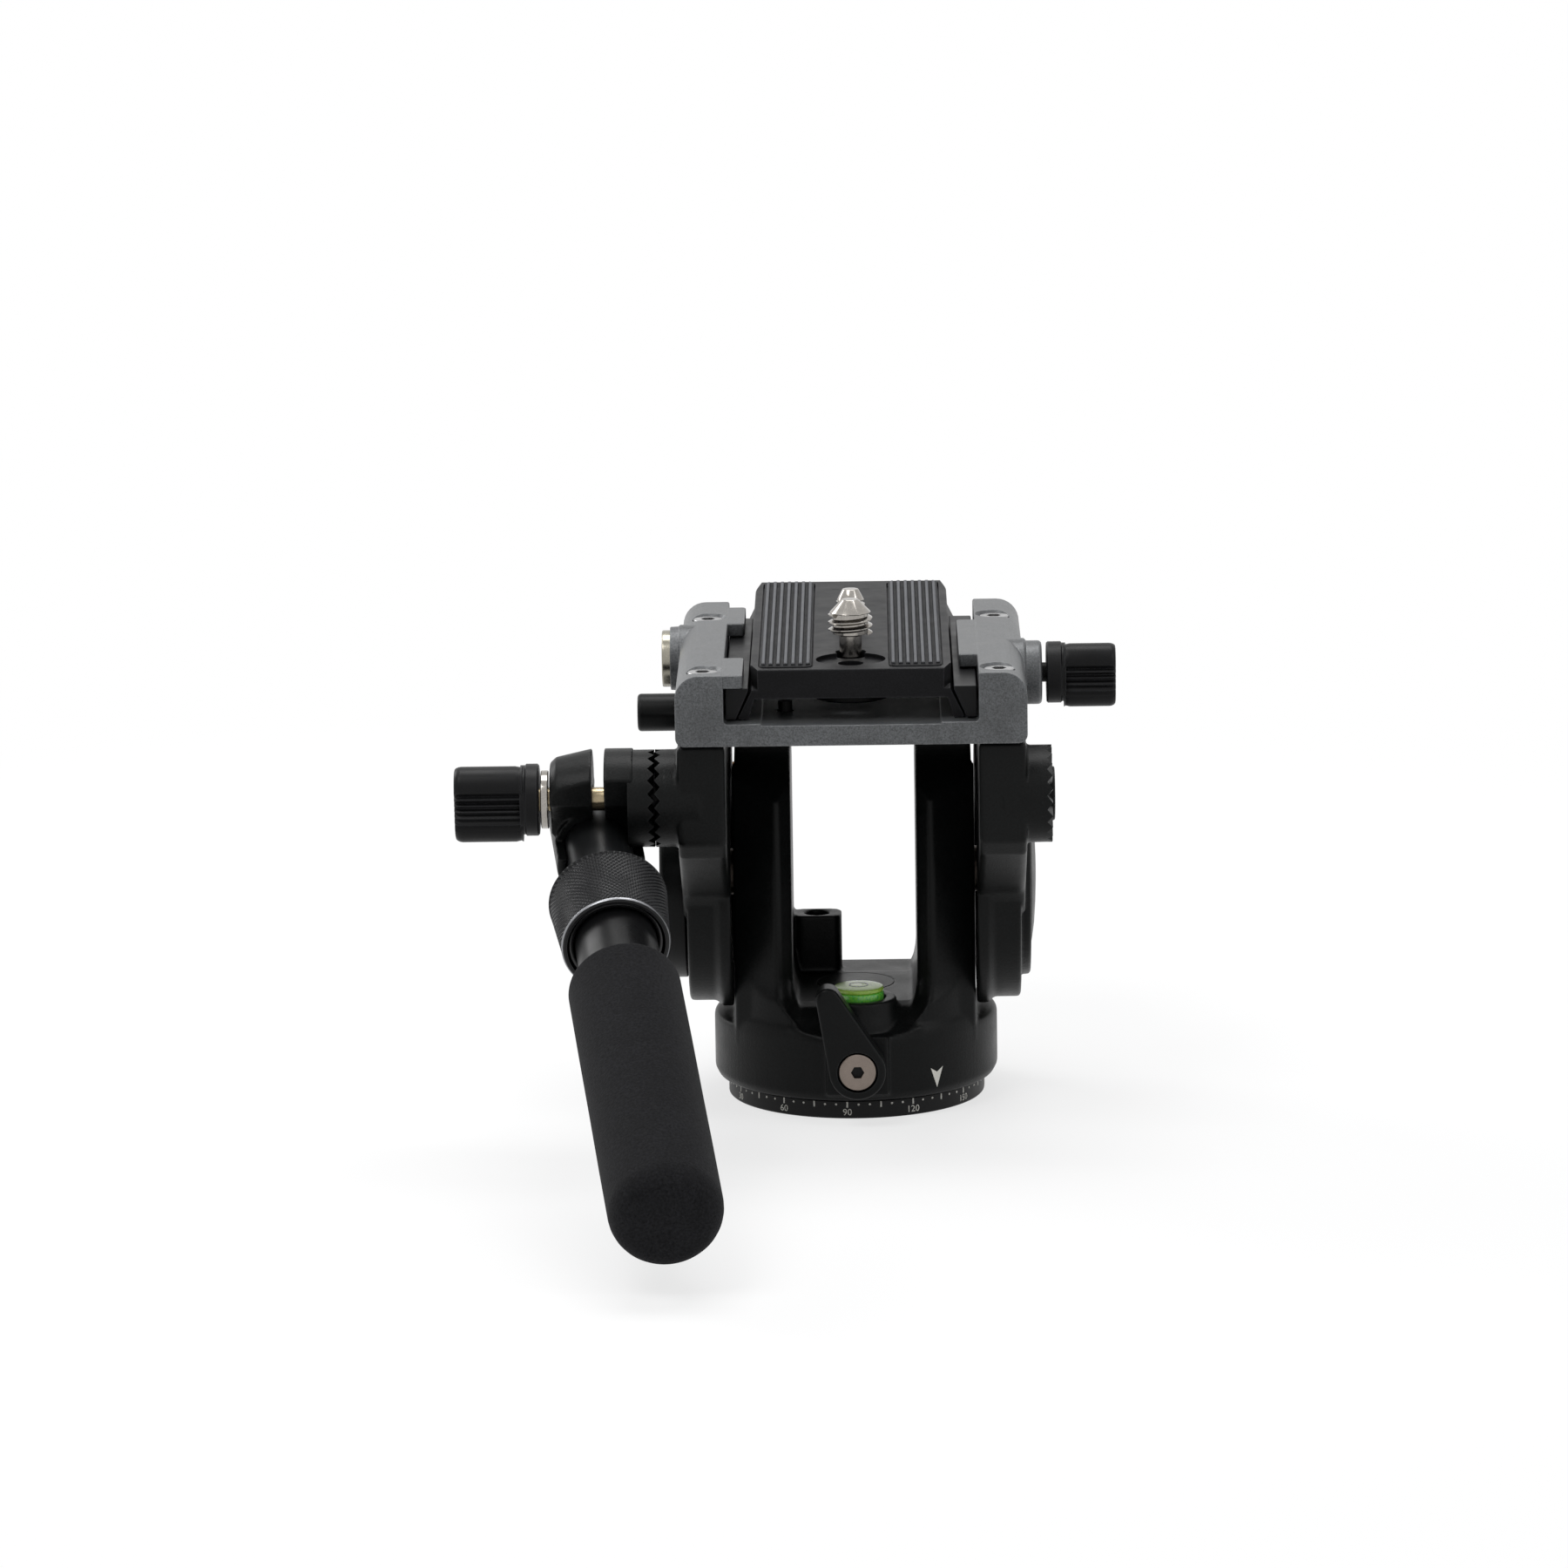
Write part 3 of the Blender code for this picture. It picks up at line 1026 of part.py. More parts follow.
def build_platform():
    body = prism("top_platform", platform_section(), PLATFORM_FRONT, PLATFORM_REAR, ALONG_Y, "grey_casting")
    overlap = PLATFORM_EDGE
    root = PLATFORM_HALF_WIDTH - PLATFORM_ROUND
    lips = [
        (-CHANNEL_HALF_WIDTH - overlap, -LEFT_FRONT_LIP_X, LEFT_FRONT_LIP_START, LEFT_FRONT_LIP_END),
        (-CHANNEL_HALF_WIDTH - overlap, -LEFT_REAR_LIP_X, LEFT_REAR_LIP_START, LEFT_REAR_LIP_END),
        (RIGHT_LIP_X, CHANNEL_HALF_WIDTH + overlap, RIGHT_LIP_START, RIGHT_LIP_END),
    ]
    for x0, x1, y0, y1 in lips:
        join(body, block("lip", (x0, y0, LIP_BOTTOM), (x1, y1, PLATFORM_TOP - THIN_GAP)))
    join(body, rod("boss", LOCK_BOSS_RADIUS, root, LOCK_BOSS_FACE, moved(TO_RIGHT, 0, LOCK_Y, SIDE_Z)))
    join(body, rod("boss", BUTTON_BOSS_RADIUS, root, BUTTON_BOSS_FACE, moved(TO_LEFT, 0, BUTTON_Y, SIDE_Z)))
    cut(body, rod("tool", LOCK_STUD_RADIUS + FIT_GAP, RIGHT_LIP_X, KNOB_END, moved(TO_RIGHT, 0, LOCK_Y, SIDE_Z), None, SMALL_STEPS))
    well = [(0, BUTTON_BORE_END), (BUTTON_STEM_RADIUS + FIT_GAP, BUTTON_BORE_END), (BUTTON_STEM_RADIUS + FIT_GAP, BUTTON_WELL_FACE)]
    well += [(BUTTON_BORE_RADIUS, BUTTON_WELL_FACE), (BUTTON_BORE_RADIUS, TILT_ROD_END), (0, TILT_ROD_END)]
    cut(body, turned("tool", well, moved(TO_LEFT, 0, BUTTON_Y, SIDE_Z), None, MEDIUM_STEPS))
    pin_at = moved(UPRIGHT, STOP_PIN_X, STOP_PIN_Y)
    cut(body, rod("tool", STOP_PIN_RADIUS + FIT_GAP, STOP_PIN_SEAT, PLATFORM_TOP, pin_at, None, SMALL_STEPS))
    for sign in (-1, 1):
        for y in (SCREW_FRONT_Y, SCREW_REAR_Y):
            seat = SCREW_HEAD_BOTTOM - FIT_GAP
            profile = [(0, 0), (SCREW_SHANK_RADIUS + FIT_GAP, 0), (SCREW_SHANK_RADIUS + FIT_GAP, seat)]
            profile += [(SCREW_WELL_RADIUS, seat), (SCREW_WELL_RADIUS, CUT_TOP), (0, CUT_TOP)]
            cut(body, turned("tool", profile, moved(UPRIGHT, sign * SCREW_X, y), None, SMALL_STEPS))
    set_origin(body, 0, 0, TILT_Z)

    for sign, side in ((-1, "left"), (1, "right")):
        for y, end in ((SCREW_FRONT_Y, "front"), (SCREW_REAR_Y, "rear")):
            at = moved(UPRIGHT, sign * SCREW_X, y)
            profile = [(0, SCREW_END), (SCREW_SHANK_RADIUS, SCREW_END), (SCREW_SHANK_RADIUS, SCREW_HEAD_BOTTOM)]
            profile += [(SCREW_HEAD_RADIUS, SCREW_HEAD_BOTTOM), (SCREW_HEAD_RADIUS, SCREW_HEAD_TOP), (0, SCREW_HEAD_TOP)]
            screw = turned("platform_screw_" + end + "_" + side, profile, at, "cap_screw_steel", SMALL_STEPS)
            cut(screw, prism("tool", hexagon(SCREW_KEY_RADIUS), SCREW_HEAD_TOP - SCREW_KEY_DEPTH, CUT_TOP, at))


def jaw_section(sign):
    """The section of a dovetail jaw, whose slope follows the flange of the plate."""
    slope = (DOVETAIL_BOTTOM_X - DOVETAIL_TOP_X) / (DOVETAIL_TOP - PLATE_BOTTOM)
    gap = FIT_GAP + THIN_GAP
    low = DOVETAIL_BOTTOM_X + gap - slope * (JAW_BOTTOM - PLATE_BOTTOM)
    points = [(low, JAW_BOTTOM), (JAW_BACK_X, JAW_BOTTOM), (JAW_BACK_X, JAW_TOP), (PLATE_TOP_X + gap, JAW_TOP), (PLATE_TOP_X + gap, DOVETAIL_TOP)]
    return [(sign * x, z) for x, z in points]


def build_jaws():
    prism("left_dovetail_rail", jaw_section(-1), JAW_FRONT, JAW_REAR, ALONG_Y, "knob_plastic")
    prism("plate_clamp_jaw", jaw_section(1), JAW_FRONT, JAW_REAR, ALONG_Y, "knob_plastic")


def build_plate():
    """The sliding plate, hollow underneath, with two ribbed pads."""
    half = [(0, PLATE_UNDERSIDE), (PLATE_HOLLOW_X, PLATE_UNDERSIDE), (PLATE_HOLLOW_X, PLATE_BOTTOM)]
    half += [(DOVETAIL_BOTTOM_X, PLATE_BOTTOM), (DOVETAIL_TOP_X, DOVETAIL_TOP), (PLATE_TOP_X, PLATE_TOP - PLATE_CHAMFER)]
    half += [(PLATE_TOP_X - PLATE_CHAMFER, PLATE_TOP)]
    section = half + [(-x, z) for x, z in reversed(half[1:])]
    body = prism("quick_release_plate", section, PLATE_FRONT, PLATE_REAR, ALONG_Y, "plate_black")
    wide = DOVETAIL_BOTTOM_X + PLATE_CHAMFER
    plan = [(-wide, PLATE_FRONT + PLATE_TAPER_FRONT), (-DOVETAIL_BOTTOM_X + PLATE_TAPER_FRONT_X, PLATE_FRONT)]
    plan += [(DOVETAIL_BOTTOM_X - PLATE_TAPER_FRONT_X, PLATE_FRONT), (wide, PLATE_FRONT + PLATE_TAPER_FRONT)]
    plan += [(wide, PLATE_REAR - PLATE_TAPER_REAR), (DOVETAIL_BOTTOM_X - PLATE_TAPER_REAR_X, PLATE_REAR)]
    plan += [(-DOVETAIL_BOTTOM_X + PLATE_TAPER_REAR_X, PLATE_REAR), (-wide, PLATE_REAR - PLATE_TAPER_REAR)]
    combine(body, prism("tool", plan, PLATFORM_BOTTOM, CUT_TOP, UPRIGHT), "INTERSECT")
    for sign in (-1, 1):
        x0 = min(sign * PAD_INNER, sign * PAD_OUTER) - FIT_GAP
        x1 = max(sign * PAD_INNER, sign * PAD_OUTER) + FIT_GAP
        cut(body, block("tool", (x0, PAD_FRONT_Y - FIT_GAP, PAD_BOTTOM - THIN_GAP), (x1, PAD_REAR_Y + FIT_GAP, CUT_TOP)))
    profile = [(0, PLATFORM_BOTTOM), (POCKET_HOLE_RADIUS, PLATFORM_BOTTOM), (POCKET_HOLE_RADIUS, PLATE_TOP - POCKET_DEPTH)]
    profile += [(POCKET_RADIUS, PLATE_TOP - POCKET_DEPTH), (POCKET_RADIUS, CUT_TOP), (0, CUT_TOP)]
    cut(body, turned("tool", profile, moved(UPRIGHT, 0, POCKET_Y), None, MEDIUM_STEPS))
    for y, radius in ((LARGE_SCREW_Y, LARGE_NECK_RADIUS), (SMALL_SCREW_Y, SMALL_NECK_RADIUS)):
        cut(body, rod("tool", radius + FIT_GAP, PLATFORM_BOTTOM, CUT_TOP, moved(UPRIGHT, 0, y), None, SMALL_STEPS))
    set_origin(body, 0, 0, PLATE_BOTTOM)

    pitch = (PAD_OUTER - PAD_INNER) / PAD_RIBS
    for sign, side in ((-1, "left"), (1, "right")):
        points = [(PAD_INNER, PAD_BOTTOM), (PAD_OUTER, PAD_BOTTOM), (PAD_OUTER, PAD_VALLEY)]
        for k in reversed(range(PAD_RIBS)):
            centre = PAD_INNER + pitch * (k + 0.5)
            foot = pitch * RIB_FOOT_SHARE / 2
            top = pitch * RIB_TOP_SHARE / 2
            points += [(centre + foot, PAD_VALLEY), (centre + top, PAD_TOP), (centre - top, PAD_TOP), (centre - foot, PAD_VALLEY)]
        points += [(PAD_INNER, PAD_VALLEY)]
        pad = prism("plate_pad_" + side, [(sign * x, z) for x, z in points], PAD_FRONT_Y, PAD_REAR_Y, ALONG_Y, "pad_rubber")
        set_origin(pad, 0, 0, PLATE_BOTTOM)


def build_camera_screw(name, y, radius, pitch, neck, thread_bottom, top, tip, head):
    """A captive camera screw: a flat head in the hollow of the plate, a slim neck and a threaded end."""
    depth = pitch / 2
    profile = [(0, SCREW_HEAD_LOW), (head, SCREW_HEAD_LOW), (head, PLATE_UNDERSIDE - FIT_GAP), (neck, PLATE_UNDERSIDE - FIT_GAP)]
    profile += [(neck, thread_bottom)]
    for k in range(THREAD_TURNS):
        low = thread_bottom + pitch * k
        profile += [(radius - depth, low), (radius, low + pitch / 2)]
    profile += [(radius - depth, thread_bottom + pitch * THREAD_TURNS), (tip, top), (0, top)]
    screw = turned(name, profile, moved(UPRIGHT, 0, y), "steel", MEDIUM_STEPS)
    slot = block("tool", (-head - pitch, y - depth, 0), (head + pitch, y + depth, SCREW_HEAD_LOW + pitch))
    cut(screw, slot)
    set_origin(screw, 0, y, PLATE_BOTTOM)


def build_plate_lock():
    at = moved(TO_RIGHT, 0, LOCK_Y, SIDE_Z)
    knob = prism("plate_lock_knob", lobed_outline(LOCK_GRIP_RADIUS), LOCK_GRIP_FACE, LOCK_GRIP_END, at, "knob_plastic")
    hub = [(0, LOCK_STUD_END), (LOCK_STUD_RADIUS, LOCK_STUD_END), (LOCK_STUD_RADIUS, LOCK_HUB_FACE), (LOCK_HUB_RADIUS, LOCK_HUB_FACE)]
    hub += [(LOCK_HUB_RADIUS, LOCK_GRIP_FACE + FIT_GAP), (0, LOCK_GRIP_FACE + FIT_GAP)]
    join(knob, turned("hub", hub, at, None, SMALL_STEPS))
    set_origin(knob, 0, LOCK_Y, SIDE_Z)

    at = moved(TO_LEFT, 0, BUTTON_Y, SIDE_Z)
    inner = BUTTON_FACE - BUTTON_THICKNESS
    profile = [(0, BUTTON_STEM_END), (BUTTON_STEM_RADIUS, BUTTON_STEM_END), (BUTTON_STEM_RADIUS, inner), (BUTTON_RADIUS, inner)]
    profile += [(BUTTON_RADIUS, BUTTON_FACE - FIT_GAP), (BUTTON_RADIUS - FIT_GAP, BUTTON_FACE), (0, BUTTON_FACE)]
    turned("safety_button", profile, at, "nickel", MEDIUM_STEPS)
    start = BUTTON_WELL_FACE + BUTTON_SPRING_WIRE + THIN_GAP
    length = inner - BUTTON_SPRING_WIRE - THIN_GAP - start
    coil(
        "safety_button_spring", BUTTON_SPRING_RADIUS, BUTTON_SPRING_WIRE, start,
        length / BUTTON_SPRING_TURNS, BUTTON_SPRING_TURNS, at, "spring_steel", SMALL_SPRING_STEPS,
    )
    rod("safety_stop_pin", STOP_PIN_RADIUS, STOP_PIN_BOTTOM, STOP_PIN_TOP, moved(UPRIGHT, STOP_PIN_X, STOP_PIN_Y), "steel", SMALL_STEPS)


def handle_frame():
    """A frame whose third direction runs along the handle to its free end and whose second points up from it."""
    turn = math.radians(HANDLE_TURN_DEG)
    fall = math.radians(HANDLE_FALL_DEG)
    along = Vector((math.sin(turn) * math.cos(fall), -math.cos(turn) * math.cos(fall), -math.sin(fall)))
    side = along.cross(Vector((0, 0, 1))).normalized()
    up = side.cross(along)
    centre = Vector((HANDLE_X, ROSETTE_Y + HANDLE_DROP * math.sin(fall), ROSETTE_Z - HANDLE_DROP * math.cos(fall)))
    return frame(side, up, along, centre)


def build_clamp():
    """The split clamp with its rosette, the washer, the knob and the stud."""
    at = moved(TO_LEFT, 0, ROSETTE_Y, ROSETTE_Z)
    body = toothed_disc("handle_clamp", CLAMP_DISC_FACE, CLAMP_VALLEY, CLAMP_CREST, at, "black_casting", 1.0)
    profile = [(0, CLAMP_DISC_FACE - FIT_GAP), (CLAMP_RADIUS, CLAMP_DISC_FACE - FIT_GAP), (CLAMP_RADIUS, CLAMP_EAR_START)]
    profile += [(CLAMP_EAR_RADIUS, CLAMP_EAR_SHOULDER), (CLAMP_EAR_FACE_RADIUS, CLAMP_EAR_FACE), (0, CLAMP_EAR_FACE)]
    ears = turned("ears", profile, at)
    fall = math.radians(HANDLE_FALL_DEG)
    forward = Vector((0, -math.cos(fall), -math.sin(fall)))
    up = Vector((0, -math.sin(fall), math.cos(fall)))
    origin = (0, ROSETTE_Y + HANDLE_DROP * math.sin(fall), ROSETTE_Z - HANDLE_DROP * math.cos(fall))
    side_view = frame(forward, up, (-1, 0, 0), origin)
    outline = [(CLAMP_BACK, 0), (CLAMP_THROAT, 0), (CLAMP_THROAT, CLAMP_THROAT_HEIGHT), (CLAMP_CHIN_FRONT, CLAMP_CHIN)]
    outline += [(CLAMP_FRONT, CLAMP_CHIN + CLAMP_CHIN_FRONT), (CLAMP_FRONT, CLAMP_HEAD), (CLAMP_BACK, CLAMP_HEAD)]
    trim = prism("tool", outline, CLAMP_DISC_FACE - BLOCK_INNER, KNOB_END, side_view)
    join(body, combine(ears, trim, "INTERSECT"))
    along = handle_frame()
    cradle = [(0, CRADLE_BACK), (CRADLE_RADIUS, CRADLE_BACK), (CRADLE_RADIUS, CRADLE_FRONT - CRADLE_EDGE)]
    cradle += [(CRADLE_RADIUS - CRADLE_EDGE, CRADLE_FRONT), (0, CRADLE_FRONT)]
    shell = turned("cradle", cradle, along, None, MEDIUM_STEPS)
    wide = 2 * CRADLE_RADIUS
    cut(shell, prism("tool", [(-wide, CLAMP_THROAT), (wide, CLAMP_THROAT), (wide, wide), (-wide, wide)], CLAMP_THROAT, wide, along))
    join(body, shell)
    cut(body, rod("tool", TUBE_RADIUS + FIT_GAP, TUBE_BACK - FIT_GAP, COLLAR_BACK, along))
    slot = [(-wide, CLAMP_THROAT), (wide, CLAMP_THROAT), (wide, 2 * wide), (-wide, 2 * wide)]
    cut(body, prism("tool", slot, CLAMP_SLOT_START, CLAMP_EAR_START, side_view))
    cut(body, rod("tool", STUD_RADIUS + RUNNING_GAP, BLOCK_INNER, KNOB_END, at, None, SMALL_STEPS))
    set_origin(body, HANDLE_X, ROSETTE_Y, ROSETTE_Z)

    ring_solid(
        "clamp_washer", STUD_RADIUS + FIT_GAP, CLAMP_WASHER_RADIUS, CLAMP_WASHER_INNER,
        CLAMP_WASHER_OUTER, at, "steel", MEDIUM_STEPS,
    )
    knob = prism("clamp_knob", lobed_outline(KNOB_RADIUS), KNOB_GRIP_FACE, KNOB_END, at, "knob_plastic")
    hub = [(0, KNOB_HUB_FACE), (KNOB_HUB_RADIUS, KNOB_HUB_FACE), (KNOB_HUB_RADIUS, KNOB_GRIP_FACE + FIT_GAP), (0, KNOB_GRIP_FACE + FIT_GAP)]
    join(knob, turned("hub", hub, at, None, SMALL_STEPS))
    cut(knob, rod("tool", STUD_RADIUS + FIT_GAP, 0, KNOB_GRIP_FACE + CLAMP_EAR_RADIUS + FIT_GAP, at, None, SMALL_STEPS))
    set_origin(knob, -KNOB_END, ROSETTE_Y, ROSETTE_Z)
    stud = rod("clamp_stud", STUD_RADIUS, STUD_END, KNOB_GRIP_FACE + CLAMP_EAR_RADIUS, at, "brass_steel", SMALL_STEPS)
    set_origin(stud, -KNOB_END, ROSETTE_Y, ROSETTE_Z)


def build_handle():
    along = handle_frame()
    origin = along.translation
    names = []
    ring_solid(
        "handle_inner_tube", TUBE_RADIUS - TUBE_WALL, TUBE_RADIUS, TUBE_BACK,
        TUBE_FRONT, along, "tube_black", MEDIUM_STEPS,
    )
    bore = TUBE_RADIUS + RUNNING_GAP
    wide = COLLAR_BORE_RADIUS
    edge = COLLAR_EDGE
    profile = [(bore, COLLAR_BACK), (COLLAR_BACK_RADIUS - edge, COLLAR_BACK), (COLLAR_BACK_RADIUS, COLLAR_BACK + edge)]
    profile += [(COLLAR_FRONT_RADIUS, COLLAR_FRONT - edge), (COLLAR_FRONT_RADIUS - edge, COLLAR_FRONT), (wide, COLLAR_FRONT)]
    profile += [(wide, COLLAR_WALL_END), (bore, COLLAR_WALL_END)]
    turned("handle_collar", profile, along, "tube_black")
    ring_solid("handle_collet", TUBE_RADIUS + FIT_GAP, COLLET_RADIUS, COLLET_BACK, COLLET_FRONT, along, "acetal")
    ring_solid("collar_bush", SLEEVE_RADIUS + FIT_GAP, BUSH_RADIUS, BUSH_BACK, BUSH_FRONT, along, "knob_plastic")
    ring_solid("handle_outer_tube", SLEEVE_INNER_RADIUS, SLEEVE_RADIUS, SLEEVE_BACK, SLEEVE_FRONT, along, "tube_black")
    bore = SLEEVE_RADIUS + FIT_GAP
    profile = [(bore, GRIP_BACK), (GRIP_BACK_RADIUS - GRIP_EDGE, GRIP_BACK), (GRIP_BACK_RADIUS, GRIP_BACK + GRIP_EDGE)]
    profile += [(GRIP_FRONT_RADIUS, GRIP_SHOULDER)]
    rise = GRIP_FRONT - GRIP_SHOULDER
    run = GRIP_FRONT_RADIUS - GRIP_FACE_RADIUS
    for k in range(1, 6):
        angle = math.pi / 2 * k / 5
        profile.append((GRIP_FACE_RADIUS + run * math.cos(angle), GRIP_SHOULDER + rise * math.sin(angle)))
    profile += [(0, GRIP_FRONT), (0, GRIP_BORE_END), (bore, GRIP_BORE_END)]
    turned("handle_grip", profile, along, "grip_foam")
    for name in ("handle_inner_tube", "handle_collar", "handle_collet", "collar_bush", "handle_outer_tube", "handle_grip"):
        set_origin(bpy.data.objects[name], *origin)
    return names


def shade():
    """Round pieces get smooth faces, with hard edges kept at corners."""
    for obj in bpy.data.objects:
        obj.data.shade_smooth()
        obj.data.set_sharp_from_angle(angle=math.radians(32))


def main():
    clear_scene()
    make_materials()
    build_base()
    build_housing()
    build_bubble()
    build_pan_lock()
    build_tilt_internals()
    arm("left", TO_LEFT, -1)
    arm("right", TO_RIGHT, 1)
    build_drum_covers()
    build_tilt_lock()
    build_platform()
    build_jaws()
    build_plate()
    build_camera_screw(
        "camera_screw_large", LARGE_SCREW_Y, LARGE_THREAD_RADIUS, LARGE_PITCH, LARGE_NECK_RADIUS,
        LARGE_THREAD_BOTTOM, LARGE_TOP, LARGE_TIP_RADIUS, LARGE_HEAD_RADIUS,
    )
    build_camera_screw(
        "camera_screw_small", SMALL_SCREW_Y, SMALL_THREAD_RADIUS, SMALL_PITCH, SMALL_NECK_RADIUS,
        SMALL_THREAD_BOTTOM, SMALL_TOP, SMALL_TIP_RADIUS, SMALL_HEAD_RADIUS,
    )
    build_plate_lock()
    build_clamp()
    build_handle()
    shade()


main()
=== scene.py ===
"""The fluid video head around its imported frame: cast, turned, moulded and foam pieces, with their finishes.

Shapes are modelled in millimetres about their own axes, and brought to the frame's metres when they are
handed over."""

from math import acos, atan2, cos, hypot, pi, radians, sin, tan

import bmesh
import bpy
from mathutils import Matrix, Vector


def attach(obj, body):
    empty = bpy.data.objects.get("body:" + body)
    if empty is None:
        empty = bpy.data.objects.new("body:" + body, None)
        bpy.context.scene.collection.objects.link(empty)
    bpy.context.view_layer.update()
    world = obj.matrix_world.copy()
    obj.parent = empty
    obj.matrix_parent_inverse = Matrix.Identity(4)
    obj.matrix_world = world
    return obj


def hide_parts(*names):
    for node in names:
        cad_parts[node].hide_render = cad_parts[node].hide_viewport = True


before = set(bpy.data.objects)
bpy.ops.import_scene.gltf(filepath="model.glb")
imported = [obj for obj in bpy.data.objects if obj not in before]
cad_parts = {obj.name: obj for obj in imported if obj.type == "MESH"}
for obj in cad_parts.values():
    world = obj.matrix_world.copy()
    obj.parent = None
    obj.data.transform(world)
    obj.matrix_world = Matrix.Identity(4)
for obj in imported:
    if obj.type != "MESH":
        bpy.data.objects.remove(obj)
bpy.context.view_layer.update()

MM = 0.001


# Directions

def facing(u, v, w, origin=(0, 0, 0)):
    """Where a drawing lies: its two flat directions, its thickness direction and its origin."""
    columns = (u, v, w, origin)
    return Matrix([[columns[c][r] for c in range(4)] for r in range(3)] + [[0, 0, 0, 1]])


def shifted(at, x=0, y=0, z=0):
    return Matrix.Translation((x, y, z)) @ at


UPRIGHT = Matrix.Identity(4)
TO_RIGHT = facing((0, 1, 0), (0, 0, 1), (1, 0, 0))
TO_LEFT = facing((0, 1, 0), (0, 0, 1), (-1, 0, 0))
TO_FRONT = facing((1, 0, 0), (0, 0, 1), (0, -1, 0))
TO_BACK = facing((1, 0, 0), (0, 0, 1), (0, 1, 0))

# Places that more than one step needs, in millimetres
TILT_Z = 49.0
ROSETTE_Y, ROSETTE_Z = -44.5, 74.7
SIDE_Z = 95.6
CAP_SCREW_X, CAP_SCREW_FRONT, CAP_SCREW_REAR = 31.2, -49.5, 12.5
LARGE_SCREW_Y, SMALL_SCREW_Y = -33.3, 1.0
LEVEL_AT = shifted(UPRIGHT, 0.7, -21.5)
PAN_LOCK_AT = shifted(TO_FRONT, 0.3, 0, 12.65)
TILT_LOCK_AT = shifted(TO_LEFT, 0, 20, 66)
CLAMP_AT = shifted(TO_LEFT, 0, ROSETTE_Y, ROSETTE_Z)
KNOB_AT = shifted(TO_RIGHT, 0, -17, SIDE_Z)
BUTTON_AT = shifted(TO_LEFT, 0, 4.5, SIDE_Z)
HANDLE_FALL = radians(20)
HANDLE_TURN = radians(7.5)


def handle_direction():
    """The handle's own axes: across it, up from it, and along it to the free end."""
    level = cos(HANDLE_FALL)
    along = Vector((sin(HANDLE_TURN) * level, -cos(HANDLE_TURN) * level, -sin(HANDLE_FALL)))
    across = along.cross(Vector((0, 0, 1))).normalized()
    start = (-54.4, ROSETTE_Y + 11 * sin(HANDLE_FALL), ROSETTE_Z - 11 * level)
    return facing(across, across.cross(along), along, start)


ALONG_HANDLE = handle_direction()


# Camera, floor and light

def link(obj):
    bpy.context.scene.collection.objects.link(obj)


def set_camera():
    """A long lens in front of the head, a little above it, as in the photograph."""
    pitch, yaw, roll = 0.2018687, -0.0028626, 0.0133213
    look = Vector((sin(yaw) * cos(pitch), cos(yaw) * cos(pitch), -sin(pitch)))
    right = Vector((cos(yaw), -sin(yaw), 0))
    up = right.cross(look)
    level_right = cos(roll) * right - sin(roll) * up
    level_up = sin(roll) * right + cos(roll) * up
    data = bpy.data.cameras.new("camera")
    data.sensor_width = 36
    data.lens = 173.767
    # The optical axis is 80 pixels beside the middle of the 1800-pixel picture
    data.shift_x = -80 / 1800
    data.clip_start = 0.05
    data.clip_end = 60
    camera = bpy.data.objects.new("camera", data)
    camera.matrix_world = facing(level_right, level_up, -look, (0.004797, -1.614526, 0.398524))
    link(camera)
    bpy.context.scene.camera = camera


def linear(code):
    """An sRGB hex colour as the linear colour that a shader takes."""
    shares = [int(code[k:k + 2], 16) / 255 for k in (1, 3, 5)]
    return tuple(s / 12.92 if s <= 0.04045 else ((s + 0.055) / 1.055) ** 2.4 for s in shares) + (1.0,)


def add_node(tree, kind, inputs=None, **settings):
    """Adds a node, sets its fields, and feeds its sockets with values or with other sockets."""
    made = tree.nodes.new("ShaderNode" + kind)
    for field, value in settings.items():
        setattr(made, field, value)
    for socket, value in (inputs or {}).items():
        if isinstance(value, bpy.types.NodeSocket):
            tree.links.new(value, made.inputs[socket])
        else:
            made.inputs[socket].default_value = value
    return made


def seen_directly(tree):
    """1 for rays from the camera, a mirror or a lens, so that these see the white background."""
    path = add_node(tree, "LightPath")
    rays = [path.outputs["Is %s Ray" % kind] for kind in ("Camera", "Glossy", "Transmission")]
    mirror = add_node(tree, "Math", {0: rays[0], 1: rays[1]}, operation="MAXIMUM")
    lens = add_node(tree, "Math", {0: mirror.outputs[0], 1: rays[2]}, operation="MAXIMUM")
    return lens.outputs[0]


def lamp(name, place, target, size, power):
    data = bpy.data.lights.new(name, "AREA")
    data.shape = "RECTANGLE"
    data.size, data.size_y = size
    data.energy = power
    obj = bpy.data.objects.new(name, data)
    obj.location = place
    obj.rotation_euler = (Vector(target) - Vector(place)).to_track_quat("-Z", "Y").to_euler()
    link(obj)


